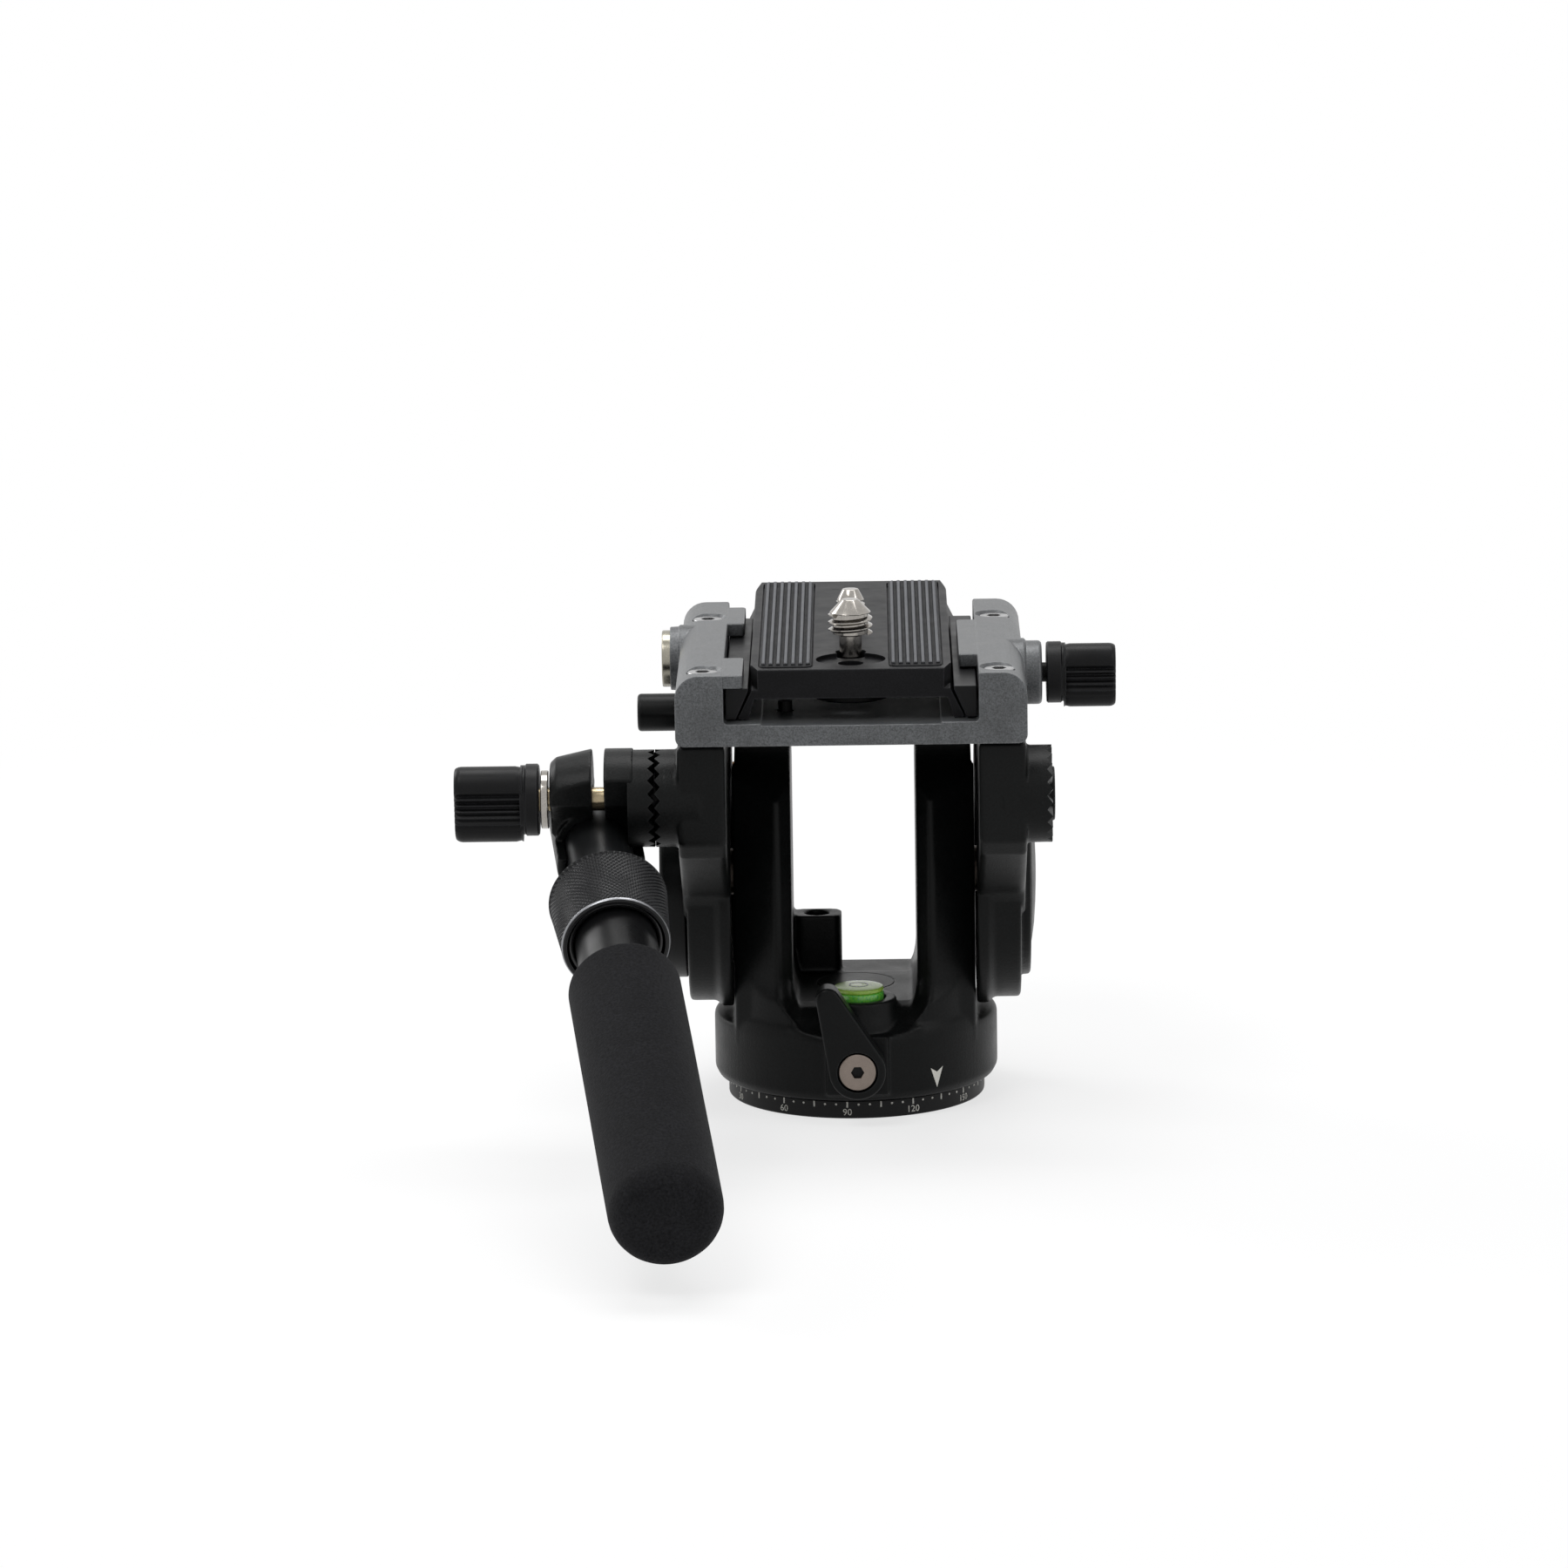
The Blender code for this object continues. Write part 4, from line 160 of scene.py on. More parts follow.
def set_stage():
    """A pale floor under soft studio light."""
    world = bpy.data.worlds.new("studio")
    bpy.context.scene.world = world
    world.use_nodes = True
    tree = world.node_tree
    tree.nodes.clear()
    room = add_node(tree, "Background", {"Color": linear("#f2f4f6"), "Strength": 0.26})
    white = add_node(tree, "Background", {"Color": (1, 1, 1, 1), "Strength": 1.0})
    mix = add_node(tree, "MixShader", {0: seen_directly(tree), 1: room.outputs[0], 2: white.outputs[0]})
    add_node(tree, "OutputWorld", {"Surface": mix.outputs[0]})

    start_fresh()
    bpy.ops.mesh.primitive_circle_add(vertices=64, radius=9, fill_type="NGON", location=(0, 0, 0))
    floor = bpy.context.object
    floor.name = "floor"
    paper = bpy.data.materials.new("white_studio_paper")
    paper.use_nodes = True
    tree = paper.node_tree
    tree.nodes.clear()
    sheet = add_node(tree, "BsdfDiffuse", {"Color": linear("#f4f4f4")})
    glow = add_node(tree, "Emission", {"Color": (1, 1, 1, 1), "Strength": 1.0})
    where = add_node(tree, "TexCoord").outputs["Object"]
    away = add_node(tree, "VectorMath", {0: where}, operation="LENGTH")
    span = {"From Min": 0.15, "From Max": 0.45, "To Min": 0.7, "To Max": 1.0}
    fade = add_node(tree, "MapRange", {"Value": away.outputs["Value"], **span})
    share = add_node(tree, "Math", {0: seen_directly(tree), 1: fade.outputs[0]}, operation="MULTIPLY")
    mix = add_node(tree, "MixShader", {0: share.outputs[0], 1: sheet.outputs[0], 2: glow.outputs[0]})
    add_node(tree, "OutputMaterial", {"Surface": mix.outputs[0]})
    floor.data.materials.append(paper)

    lamp("key", (-0.5, -0.55, 1.15), (-0.01, -0.03, 0.06), (0.6, 0.5), 6)
    lamp("fill", (0.95, -0.65, 0.75), (0, -0.02, 0.06), (0.4, 0.6), 2.5)
    lamp("top", (0.05, 0.25, 1.1), (0, 0, 0.08), (0.9, 0.5), 8)
    lamp("rim", (-0.85, 0.6, 0.6), (0, 0, 0.06), (0.4, 0.6), 4)
    bpy.context.scene.view_settings.view_transform = "Standard"


# Workshop

def start_fresh():
    """Leaves edit mode and deselects everything, so that the next operator acts on the new piece only."""
    if bpy.context.mode != "OBJECT":
        bpy.ops.object.mode_set(mode="OBJECT")
    bpy.ops.object.select_all(action="DESELECT")


def pick(obj):
    start_fresh()
    obj.select_set(True)
    bpy.context.view_layer.objects.active = obj


def apply_modifier(obj, kind, **settings):
    pick(obj)
    modifier = obj.modifiers.new("step", kind)
    for field, value in settings.items():
        setattr(modifier, field, value)
    bpy.ops.object.modifier_apply(modifier=modifier.name)
    return obj


def put(obj, at):
    """Moves a finished mesh to its place; a mirrored place turns the faces round again."""
    obj.data.transform(at @ obj.matrix_world)
    obj.matrix_world = Matrix.Identity(4)
    if at.determinant() < 0:
        obj.data.flip_normals()
    return obj


def close_up():
    """Merges doubled points and turns every face outwards, then leaves edit mode."""
    bpy.ops.mesh.select_all(action="SELECT")
    bpy.ops.mesh.remove_doubles(threshold=0.0005)
    bpy.ops.mesh.normals_make_consistent(inside=False)
    bpy.ops.object.mode_set(mode="OBJECT")


def extrude(x, y, z):
    """Extrudes what is selected in edit mode, and moves it."""
    bpy.ops.mesh.extrude_region_move(TRANSFORM_OT_translate={"value": (x, y, z)})


def traced(name, points):
    """A flat face, left in edit mode: one point is extruded along its outline, which is then filled."""
    start_fresh()
    bpy.ops.mesh.primitive_plane_add(size=1, enter_editmode=True, location=(0, 0, 0))
    obj = bpy.context.object
    obj.name = obj.data.name = name
    bpy.ops.mesh.merge(type="CENTER")
    bpy.ops.transform.translate(value=points[0])
    for before, after in zip(points, points[1:]):
        extrude(*[b - a for a, b in zip(before, after)])
    bpy.ops.mesh.select_all(action="SELECT")
    bpy.ops.mesh.edge_face_add()
    return obj


def eased(corners, steps=3, closed=False):
    """An outline whose corners (a, b, radius) become short arcs; one without a radius stays sharp."""
    made = []
    for k, corner in enumerate(corners):
        here = Vector(corner[:2])
        radius = corner[2] if len(corner) > 2 else 0
        if radius == 0 or (not closed and k in (0, len(corners) - 1)):
            made.append(tuple(here))
            continue
        before = Vector(corners[k - 1][:2]) - here
        after = Vector(corners[(k + 1) % len(corners)][:2]) - here
        half = before.angle(after) / 2
        reach = min(radius / tan(half), 0.49 * before.length, 0.49 * after.length)
        radius = reach * tan(half)
        middle = here + (before.normalized() + after.normalized()).normalized() * (radius / sin(half))
        first = here + before.normalized() * reach - middle
        last = here + after.normalized() * reach - middle
        start = atan2(first.y, first.x)
        sweep = (atan2(last.y, last.x) - start + pi) % (2 * pi) - pi
        for j in range(steps + 1):
            angle = start + sweep * j / steps
            made.append((middle.x + radius * cos(angle), middle.y + radius * sin(angle)))
    return made


def circle(name, sides, radius, height, fill):
    """A circle of points at a height, left in edit mode."""
    start_fresh()
    bpy.ops.mesh.primitive_circle_add(vertices=sides, radius=radius, fill_type=fill,
                                      enter_editmode=True, location=(0, 0, 0))
    obj = bpy.context.object
    obj.name = obj.data.name = name
    bpy.ops.transform.translate(value=(0, 0, height))
    return obj


def both_sides(half):
    """A whole section from its right half, which starts on the middle line."""
    return half + [(-c[0],) + c[1:] for c in reversed(half[1:])]


def turned(name, corners, at=UPRIGHT, sides=96, bored=False, steps=3):
    """A lathe-turned piece: a circle is extruded and scaled from one (radius, height) to the next.

    A bored profile closes on itself round the bore; another is capped at both ends."""
    profile = eased(corners, steps, bored)
    radius, height = profile[0]
    obj = circle(name, sides, radius, height, "NOTHING" if bored else "NGON")
    for next_radius, next_height in profile[1:] + (profile[:1] if bored else []):
        extrude(0, 0, next_height - height)
        grow = next_radius / radius
        bpy.ops.transform.resize(value=(grow, grow, 1), center_override=(0, 0, next_height))
        radius, height = next_radius, next_height
    close_up()
    return put(obj, at)


def drawn(name, points, low, high, at=UPRIGHT, rings=()):
    """A piece with a drawn outline, which is filled and extruded.

    Each ring (height, scale across, scale along) is one more extrusion, so that the sides can curve."""
    obj = traced(name, [(point[0], point[1], low) for point in points])
    height, across, along = low, 1.0, 1.0
    for next_height, next_across, *other in rings or ((high, 1.0),):
        next_along = other[0] if other else next_across
        extrude(0, 0, next_height - height)
        grow = (next_across / across, next_along / along, 1)
        bpy.ops.transform.resize(value=grow, center_override=(0, 0, next_height))
        height, across, along = next_height, next_across, next_along
    close_up()
    return put(obj, at)


def slab(name, low, high, corner=0.0, edge=0.0, at=UPRIGHT):
    """A rectangular block with its four upright corners rounded and its edges eased."""
    (x0, y0), (x1, y1) = low[:2], high[:2]
    points = [(x0, y0, corner), (x1, y0, corner), (x1, y1, corner), (x0, y1, corner)]
    return eased_edges(drawn(name, eased(points, 4, True), low[2], high[2], at), edge)


def eased_edges(obj, width, segments=2, angle=38):
    if width:
        apply_modifier(obj, "BEVEL", width=width, segments=segments, limit_method="ANGLE",
                       angle_limit=radians(angle))
    return obj


def volume(obj):
    """The volume of a closed mesh, or nothing where it has come open."""
    mesh = bmesh.new()
    mesh.from_mesh(obj.data)
    closed = all(edge.is_manifold for edge in mesh.edges)
    size = mesh.calc_volume()
    mesh.free()
    return size if closed else None


def boolean(obj, operation, *tools):
    """Joins, cuts or trims with closed tools.

    A result whose volume can't be right is made again with the tool a hair aside."""
    for tool in tools:
        for part in (obj, tool):
            apply_modifier(part, "TRIANGULATE", quad_method="BEAUTY", ngon_method="BEAUTY")
        own, other = volume(obj) or 0, volume(tool) or 0
        limits = {
            "UNION": (max(own, other), own + other),
            "DIFFERENCE": (own - other, own),
            "INTERSECT": (0.5, min(own, other)),
        }
        least, most = limits[operation]
        before = obj.data.copy()
        for aside in (0, 0.004, -0.011, 0.023, -0.041):
            tool.data.transform(Matrix.Translation((aside, 0.7 * aside, 1.3 * aside)))
            apply_modifier(obj, "BOOLEAN", operation=operation, solver="EXACT", object=tool)
            apply_modifier(obj, "WELD", merge_threshold=0.0005)
            after = volume(obj)
            if after is not None and 0.995 * least - 0.5 <= after <= 1.005 * most + 0.5:
                break
            obj.data = before.copy()
        bpy.data.objects.remove(tool)
    return obj


def united(obj, *others):
    return boolean(obj, "UNION", *others)


def carved(obj, *tools):
    return boolean(obj, "DIFFERENCE", *tools)


def common(obj, *tools):
    return boolean(obj, "INTERSECT", *tools)


def meet(first, second):
    """Whether the boxes round two meshes overlap."""
    spans = []
    for obj in (first, second):
        places = [point.co for point in obj.data.vertices]
        spans.append([(min(p[k] for p in places), max(p[k] for p in places)) for k in range(3)])
    return all(a[0] < b[1] and b[0] < a[1] for a, b in zip(*spans))


def twin(obj):
    copy = bpy.data.objects.new(obj.name, obj.data.copy())
    link(copy)
    return copy


def gather(name, pieces):
    """Joins separate pieces into one object."""
    start_fresh()
    for piece in pieces:
        piece.select_set(True)
    bpy.context.view_layer.objects.active = pieces[0]
    bpy.ops.object.join()
    pieces[0].name = pieces[0].data.name = name
    return pieces[0]


def cast(name, solids, tools, grid, keep, rounds=4):
    """One casting from solids that run into each other, each cut by the tools that reach it.

    All are fused on an even grid of points, every edge is softened as on a die casting, and a share of the
    faces is kept."""
    for solid in solids:
        for tool in tools:
            if meet(solid, tool):
                boolean(solid, "DIFFERENCE", twin(tool))
    for tool in tools:
        bpy.data.objects.remove(tool)
    obj = gather(name, solids)
    apply_modifier(obj, "REMESH", mode="VOXEL", voxel_size=grid, use_smooth_shade=True)
    apply_modifier(obj, "SMOOTH", factor=0.5, iterations=rounds)
    return apply_modifier(obj, "DECIMATE", ratio=keep)


def bore(radius, low, high, at=UPRIGHT, sides=48):
    return turned("bore", [(radius, low), (radius, high)], at, sides)


def hull(first, second):
    """The outline of a strap round two circles, each (x, y, radius)."""
    steps = 48
    (x0, y0, r0), (x1, y1, r1) = first, second
    lean = atan2(y1 - y0, x1 - x0)
    open_angle = acos((r0 - r1) / hypot(x1 - x0, y1 - y0))
    points = []
    for k in range(steps + 1):
        angle = lean + open_angle + (2 * pi - 2 * open_angle) * k / steps
        points.append((x0 + r0 * cos(angle), y0 + r0 * sin(angle)))
    for k in range(steps // 2 + 1):
        angle = lean - open_angle + 2 * open_angle * k / (steps // 2)
        points.append((x1 + r1 * cos(angle), y1 + r1 * sin(angle)))
    return points


def hexagon(radius):
    return [(radius * cos(pi * k / 3), radius * sin(pi * k / 3)) for k in range(6)]


def arc(radius, start, end, steps, x=0, y=0):
    angles = [radians(start + (end - start) * k / steps) for k in range(steps + 1)]
    return [(x + radius * cos(a), y + radius * sin(a)) for a in angles]


def hand_over(obj, body, finish, *nodes, smooth=32, weigh=True):
    """Brings a finished piece to metres, smooths and paints it, and hangs it on its body.

    It takes the place of its CAD nodes, where it has any."""
    material, slot = FINISHES[finish]
    put(obj, Matrix.Scale(MM, 4))
    pick(obj)
    bpy.ops.object.shade_smooth_by_angle(angle=radians(smooth))
    if weigh:
        apply_modifier(obj, "WEIGHTED_NORMAL", keep_sharp=True, weight=60)
    obj.data.materials.clear()
    obj.data.materials.append(material)
    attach(obj, body)
    if nodes:
        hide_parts(*nodes)


# Finishes

FINISHES = {}


def blend_colours(tree, share, first, second):
    mix = add_node(tree, "Mix", {0: share, 6: first, 7: second}, data_type="RGBA")
    return mix.outputs[2]


def finish(name, slot, dark, light, rough, patch, grain, depth,
           metallic=0.0, specular=0.5, coat=0.0, edge=None, crest_highlight_above=None):
    """A finish whose tone wanders between two colours in patches, over a grain.

    Patch, grain and depth are in millimetres. The roughness wanders with the patches. Edge is a colour
    painted on corners, partly as wear and partly as a painted highlight, and painted as a highlight above the
    given height, where there is one."""
    material = bpy.data.materials.new(name)
    material.use_nodes = True
    tree = material.node_tree
    shader = tree.nodes["Principled BSDF"]
    where = add_node(tree, "TexCoord").outputs["Object"]
    wide = {"Vector": where, "Scale": 1 / (patch * MM), "Detail": 3.0, "Roughness": 0.6}
    drift = add_node(tree, "TexNoise", wide)
    fine = {"Vector": where, "Scale": 1 / (grain * MM), "Detail": 4.0, "Roughness": 0.65}
    height = add_node(tree, "TexNoise", fine).outputs["Fac"]
    tone = add_node(tree, "MapRange", {"Value": drift.outputs["Fac"], "From Min": 0.3, "From Max": 0.7})
    speck = add_node(tree, "MapRange", {"Value": height, "From Min": 0.25, "From Max": 0.75})
    both = add_node(tree, "Math", {0: tone.outputs[0], 1: speck.outputs[0]}, operation="MULTIPLY_ADD")
    both.inputs[1].default_value = 0.45
    tree.links.new(speck.outputs[0], both.inputs[2])
    both_share = add_node(tree, "MapRange", {"Value": both.outputs[0], "From Min": 0.1, "From Max": 1.3})
    colour = blend_colours(tree, both_share.outputs[0], linear(dark), linear(light))
    # The edge colour on corners: partly wear, partly a painted highlight where the edges would catch the
    # lamps
    if edge:
        soft = add_node(tree, "Bevel", {"Radius": 0.45 * MM}, samples=4)
        flat = add_node(tree, "NewGeometry").outputs["Normal"]
        alike = add_node(tree, "VectorMath", {0: soft.outputs[0], 1: flat}, operation="DOT_PRODUCT")
        bend = {"Value": alike.outputs["Value"], "From Min": 0.992, "From Max": 0.86, "To Max": 0.7}
        edge_wear_and_highlight_mask = add_node(tree, "MapRange", bend)
        speckled_wear_and_highlight = add_node(tree, "Math", {0: edge_wear_and_highlight_mask.outputs[0], 1: speck.outputs[0]}, operation="MULTIPLY")
        colour = blend_colours(tree, speckled_wear_and_highlight.outputs[0], colour, linear(edge))
    # A painted highlight in the edge colour on all that stands above the given height, such as rib crests
    if crest_highlight_above:
        height_there = add_node(tree, "SeparateXYZ", {0: where}).outputs["Z"]
        span = {"From Min": (crest_highlight_above - 0.3) * MM, "From Max": (crest_highlight_above - 0.02) * MM}
        crest = add_node(tree, "MapRange", {"Value": height_there, **span})
        colour = blend_colours(tree, crest.outputs[0], colour, linear(edge))
    tree.links.new(colour, shader.inputs["Base Color"])
    around = {"From Min": 0.3, "From Max": 0.7, "To Min": rough - 0.05, "To Max": rough + 0.05}
    gloss = add_node(tree, "MapRange", {"Value": drift.outputs["Fac"], **around})
    tree.links.new(gloss.outputs[0], shader.inputs["Roughness"])
    bump = add_node(tree, "Bump", {"Height": height, "Distance": depth * MM, "Strength": 1.0})
    tree.links.new(bump.outputs[0], shader.inputs["Normal"])
    shader.inputs["Metallic"].default_value = metallic
    if not metallic:
        shader.inputs["IOR"].default_value = 1.5
        shader.inputs["Specular IOR Level"].default_value = specular
    shader.inputs["Coat Weight"].default_value = coat
    shader.inputs["Coat Roughness"].default_value = 0.25
    FINISHES[name] = (material, slot)
    return material


def mix_finishes():
    """Each finish is a real material and how its surface was made.

    After its two colours stand its roughness and its patch, grain and depth in millimetres. Grains that are
    too fine to show in the render are drawn 0.12 to 0.3 mm coarse."""
    # An edge colour, where one is given, is painted on corners: partly wear, partly a painted highlight
    # Die-cast aluminium under a fine leather-textured powder coat: satin black, its grain catching light
    finish("black_powder_coat", "black_casting", "#070808", "#111212", 0.36, 9, 0.5, 0.055,
           specular=0.11, edge="#2c2d2e")
    # The same coat, smoother, on small levers
    finish("black_lever_coat", "black_casting", "#070808", "#101111", 0.36, 7, 0.35, 0.014,
           specular=0.11, edge="#3d3e3f")
    # Turned aluminium, black anodised: a smooth satin ring
    finish("black_anodised_ring", "base_ring", "#0c0c0c", "#161617", 0.42, 6, 0.25, 0.006, specular=0.16)
    # Die-cast aluminium in metallic grey paint: flakes that glint, lighter on corners with wear and a painted
    # highlight
    finish("metallic_grey_paint", "grey_casting", "#363738", "#606264", 0.40, 14, 0.34, 0.042,
           metallic=0.35, specular=0.3, edge="#8f9192")
    # Extruded aluminium, sand-blasted and dark anodised: a dull fine sand
    finish("sandblasted_anodised", "plate_metal", "#0a0a0b", "#161618", 0.46, 8, 0.30, 0.022,
           specular=0.10, edge="#444447")
    # Moulded nitrile rubber: nearly black and dull; paler on its edges with wear and a painted highlight, and
    # on its rib crests with a painted highlight
    finish("moulded_rubber", "pad_rubber", "#060607", "#0e0e0f", 0.60, 5, 0.20, 0.010,
           specular=0.08, edge="#5c5d60", crest_highlight_above=104.4)
    # Turned and polished stainless steel: mirror bands, very faintly clouded
    finish("polished_stainless", "bright_steel", "#8b8782", "#aaa6a0", 0.15, 4, 0.18, 0.0015, metallic=1.0)
    # Turned stainless steel left from the tool: warm grey, softly clouded
    finish("turned_stainless", "bright_steel", "#6b625b", "#8a7f77", 0.36, 3, 0.14, 0.003, metallic=1.0)
    # Zinc-plated socket screws: grey, slightly cloudy
    finish("zinc_plated_steel", "cap_screw_steel", "#8f8f90", "#b1b1b1", 0.30, 1.5, 0.20, 0.003,
           metallic=1.0)
    # Blackened steel with a film of oil: nearly black, dull; also the painted shade at the bottom of the
    # hexagon sockets
    finish("black_oxide_steel", "bright_steel", "#101010", "#1a1a1a", 0.45, 3, 0.20, 0.003, specular=0.15)
    # Sintered bronze, pressed and oiled: brown and porous
    finish("sintered_bronze", "bronze", "#8a6233", "#a97c48", 0.45, 2, 0.12, 0.006, metallic=1.0)
    # Machined acetal in its natural colour: milky white, waxy
    finish("natural_acetal", "acetal", "#d8d6cd", "#e8e6de", 0.45, 6, 0.30, 0.003, specular=0.5)
    # Moulded glass-filled plastic: dark grey, half matte
    finish("moulded_drag_plastic", "moulded_black", "#2a2a2c", "#3a3a3c", 0.45, 6, 0.30, 0.004,
           specular=0.4)
    # Injection-moulded ABS with a spark-eroded texture: matte black
    finish("matte_abs", "moulded_black", "#09090a", "#131314", 0.40, 6, 0.24, 0.010,
           specular=0.13, edge="#414244")
    # The same plastic from a polished mould: smooth and shiny
    finish("gloss_abs", "moulded_black", "#0c0c0d", "#141415", 0.20, 8, 0.40, 0.001, specular=0.5)
    # Turned brass under satin nickel: warm silver with a soft shine
    finish("satin_nickel", "nickel", "#7f7c71", "#a09c90", 0.24, 3, 0.15, 0.002, metallic=1.0)
    # Drawn aluminium tube, satin black anodised: long soft highlights
    finish("black_anodised_tube", "tube_black", "#09090a", "#101011", 0.32, 12, 0.30, 0.002, specular=0.10)
    # The same on the inner tube, bead-blasted first: a wider, softer highlight
    finish("blasted_anodised_tube", "tube_black", "#121314", "#1b1c1d", 0.36, 10, 0.22, 0.004,
           specular=0.42)
    # Knurled aluminium, black anodised: points that glint, paler with wear and a painted highlight
    finish("knurled_black_anodised", "tube_black", "#070708", "#0e0e0f", 0.32, 5, 0.20, 0.002,
           specular=0.22, edge="#46474a")
    # The chamfer cut after anodising: bare bright aluminium
    finish("bare_aluminium", "bright_steel", "#7a7b7e", "#98999c", 0.32, 2, 0.12, 0.003, metallic=1.0)
    # Nickel-plated brass: pale, faintly yellow
    finish("brass_stud", "bright_steel", "#8d8068", "#ab9c80", 0.24, 2, 0.15, 0.002, metallic=1.0)
    # Drawn and oiled spring wire: smooth dark grey
    finish("oiled_spring_steel", "spring_steel", "#6d6d6e", "#8a8a8b", 0.30, 2, 0.15, 0.002, metallic=1.0)
    # Closed-cell foam rubber: soft, sooty black, all small cells and no shine
    foam = finish("closed_cell_foam", "grip_foam", "#111112", "#232325", 0.95, 6, 0.55, 0.10, specular=0.06)
    sheen = foam.node_tree.nodes["Principled BSDF"]
    sheen.inputs["Sheen Weight"].default_value = 0.03
    sheen.inputs["Sheen Roughness"].default_value = 0.5
    # Pad-printed enamel: flat, slightly warm white
    finish("white_print", "base_ring", "#d9d7cf", "#e8e6de", 0.6, 3, 0.15, 0.002, specular=0.3)
    # The same print in black
    finish("dark_print", "plate_metal", "#0e0e0f", "#161617", 0.7, 3, 0.15, 0.002, specular=0.2)
    # Acrylic level: dyed green cup, pale fluorescent liquid, and the bubble under a clear lens
    finish("green_acrylic", "vial", "#1fa24a", "#7fd13e", 0.15, 5, 0.5, 0.001, specular=0.5, coat=0.6)
    finish("level_liquid", "vial", "#86ad3c", "#a4c957", 0.25, 4, 0.6, 0.001, specular=0.3, coat=0.3)
    finish("level_bubble", "vial", "#bcd77c", "#cde39a", 0.15, 2, 0.5, 0.001, specular=0.4, coat=0.5)
    finish("level_ring", "vial", "#16240e", "#1e2e14", 0.3, 2, 0.3, 0.001, specular=0.4)


# Base and scale

def wrapped(obj, radius, angle, height):
    """Lays a flat drawing round the ring, at an angle to the right of the front."""
    for point in obj.data.vertices:
        turn = angle + point.co.x / radius
        out = radius + point.co.z
        point.co = (out * sin(turn), -out * cos(turn), height + point.co.y)
    return obj


def make_base():
    ring = [(6.9, 0, 0.3), (28, 0, 0.5), (28, 4, 0.3), (19.5, 4), (19.5, 13.5)]
    ring += [(17, 13.5), (17, 4), (12, 4), (12, 6.5), (6.9, 6.5)]
    ring = turned("scale_ring", ring, sides=160, bored=True)
    hand_over(ring, "base", "black_anodised_ring", "base_scale_ring")
    shaft = [(4.15, 0.3, 0.3), (6.6, 0.3, 0.3), (6.6, 6.8), (10, 6.8), (10, 9)]
    shaft += [(5, 9), (5, 21.8, 0.4), (0.6, 21.8), (0.6, 9.6), (4.15, 9)]
    shaft = turned("socket_shaft", shaft, sides=48, bored=True)
    hand_over(shaft, "base", "turned_stainless", "pan_shaft")

    rim, bar_height, dot_height, numeral_height = 28.0, 3.15, 3.2, 1.45
    marks = []
    # The scale's zero stands 94.2 degrees to the left of the front
    zero = radians(-94.2)
    for k in range(72):
        angle = zero + radians(5 * k)
        if k % 3 == 0:
            mark = slab("bar", (-0.17, -0.62, 0), (0.17, 0.62, 0.03))
        else:
            mark = drawn("dot", arc(0.24, 0, 320, 8), 0, 0.03)
        marks.append(wrapped(mark, rim, angle, bar_height if k % 3 == 0 else dot_height))
    for k in range(12):
        start_fresh()
        bpy.ops.object.text_add(location=(0, 0, 0))
        numeral = bpy.context.object
        numeral.data.body = str(30 * k)
        numeral.data.size = 2.05
        numeral.data.align_x = "CENTER"
        numeral.data.align_y = "CENTER"
        numeral.data.extrude = 0.015
        numeral.data.resolution_u = 3
        bpy.ops.object.convert(target="MESH")
        numeral = bpy.context.object
        marks.append(wrapped(numeral, rim + 0.015, zero + radians(30 * k), numeral_height))
    hand_over(gather("scale_print", marks), "base", "white_print", smooth=10, weigh=False)


# Pan housing

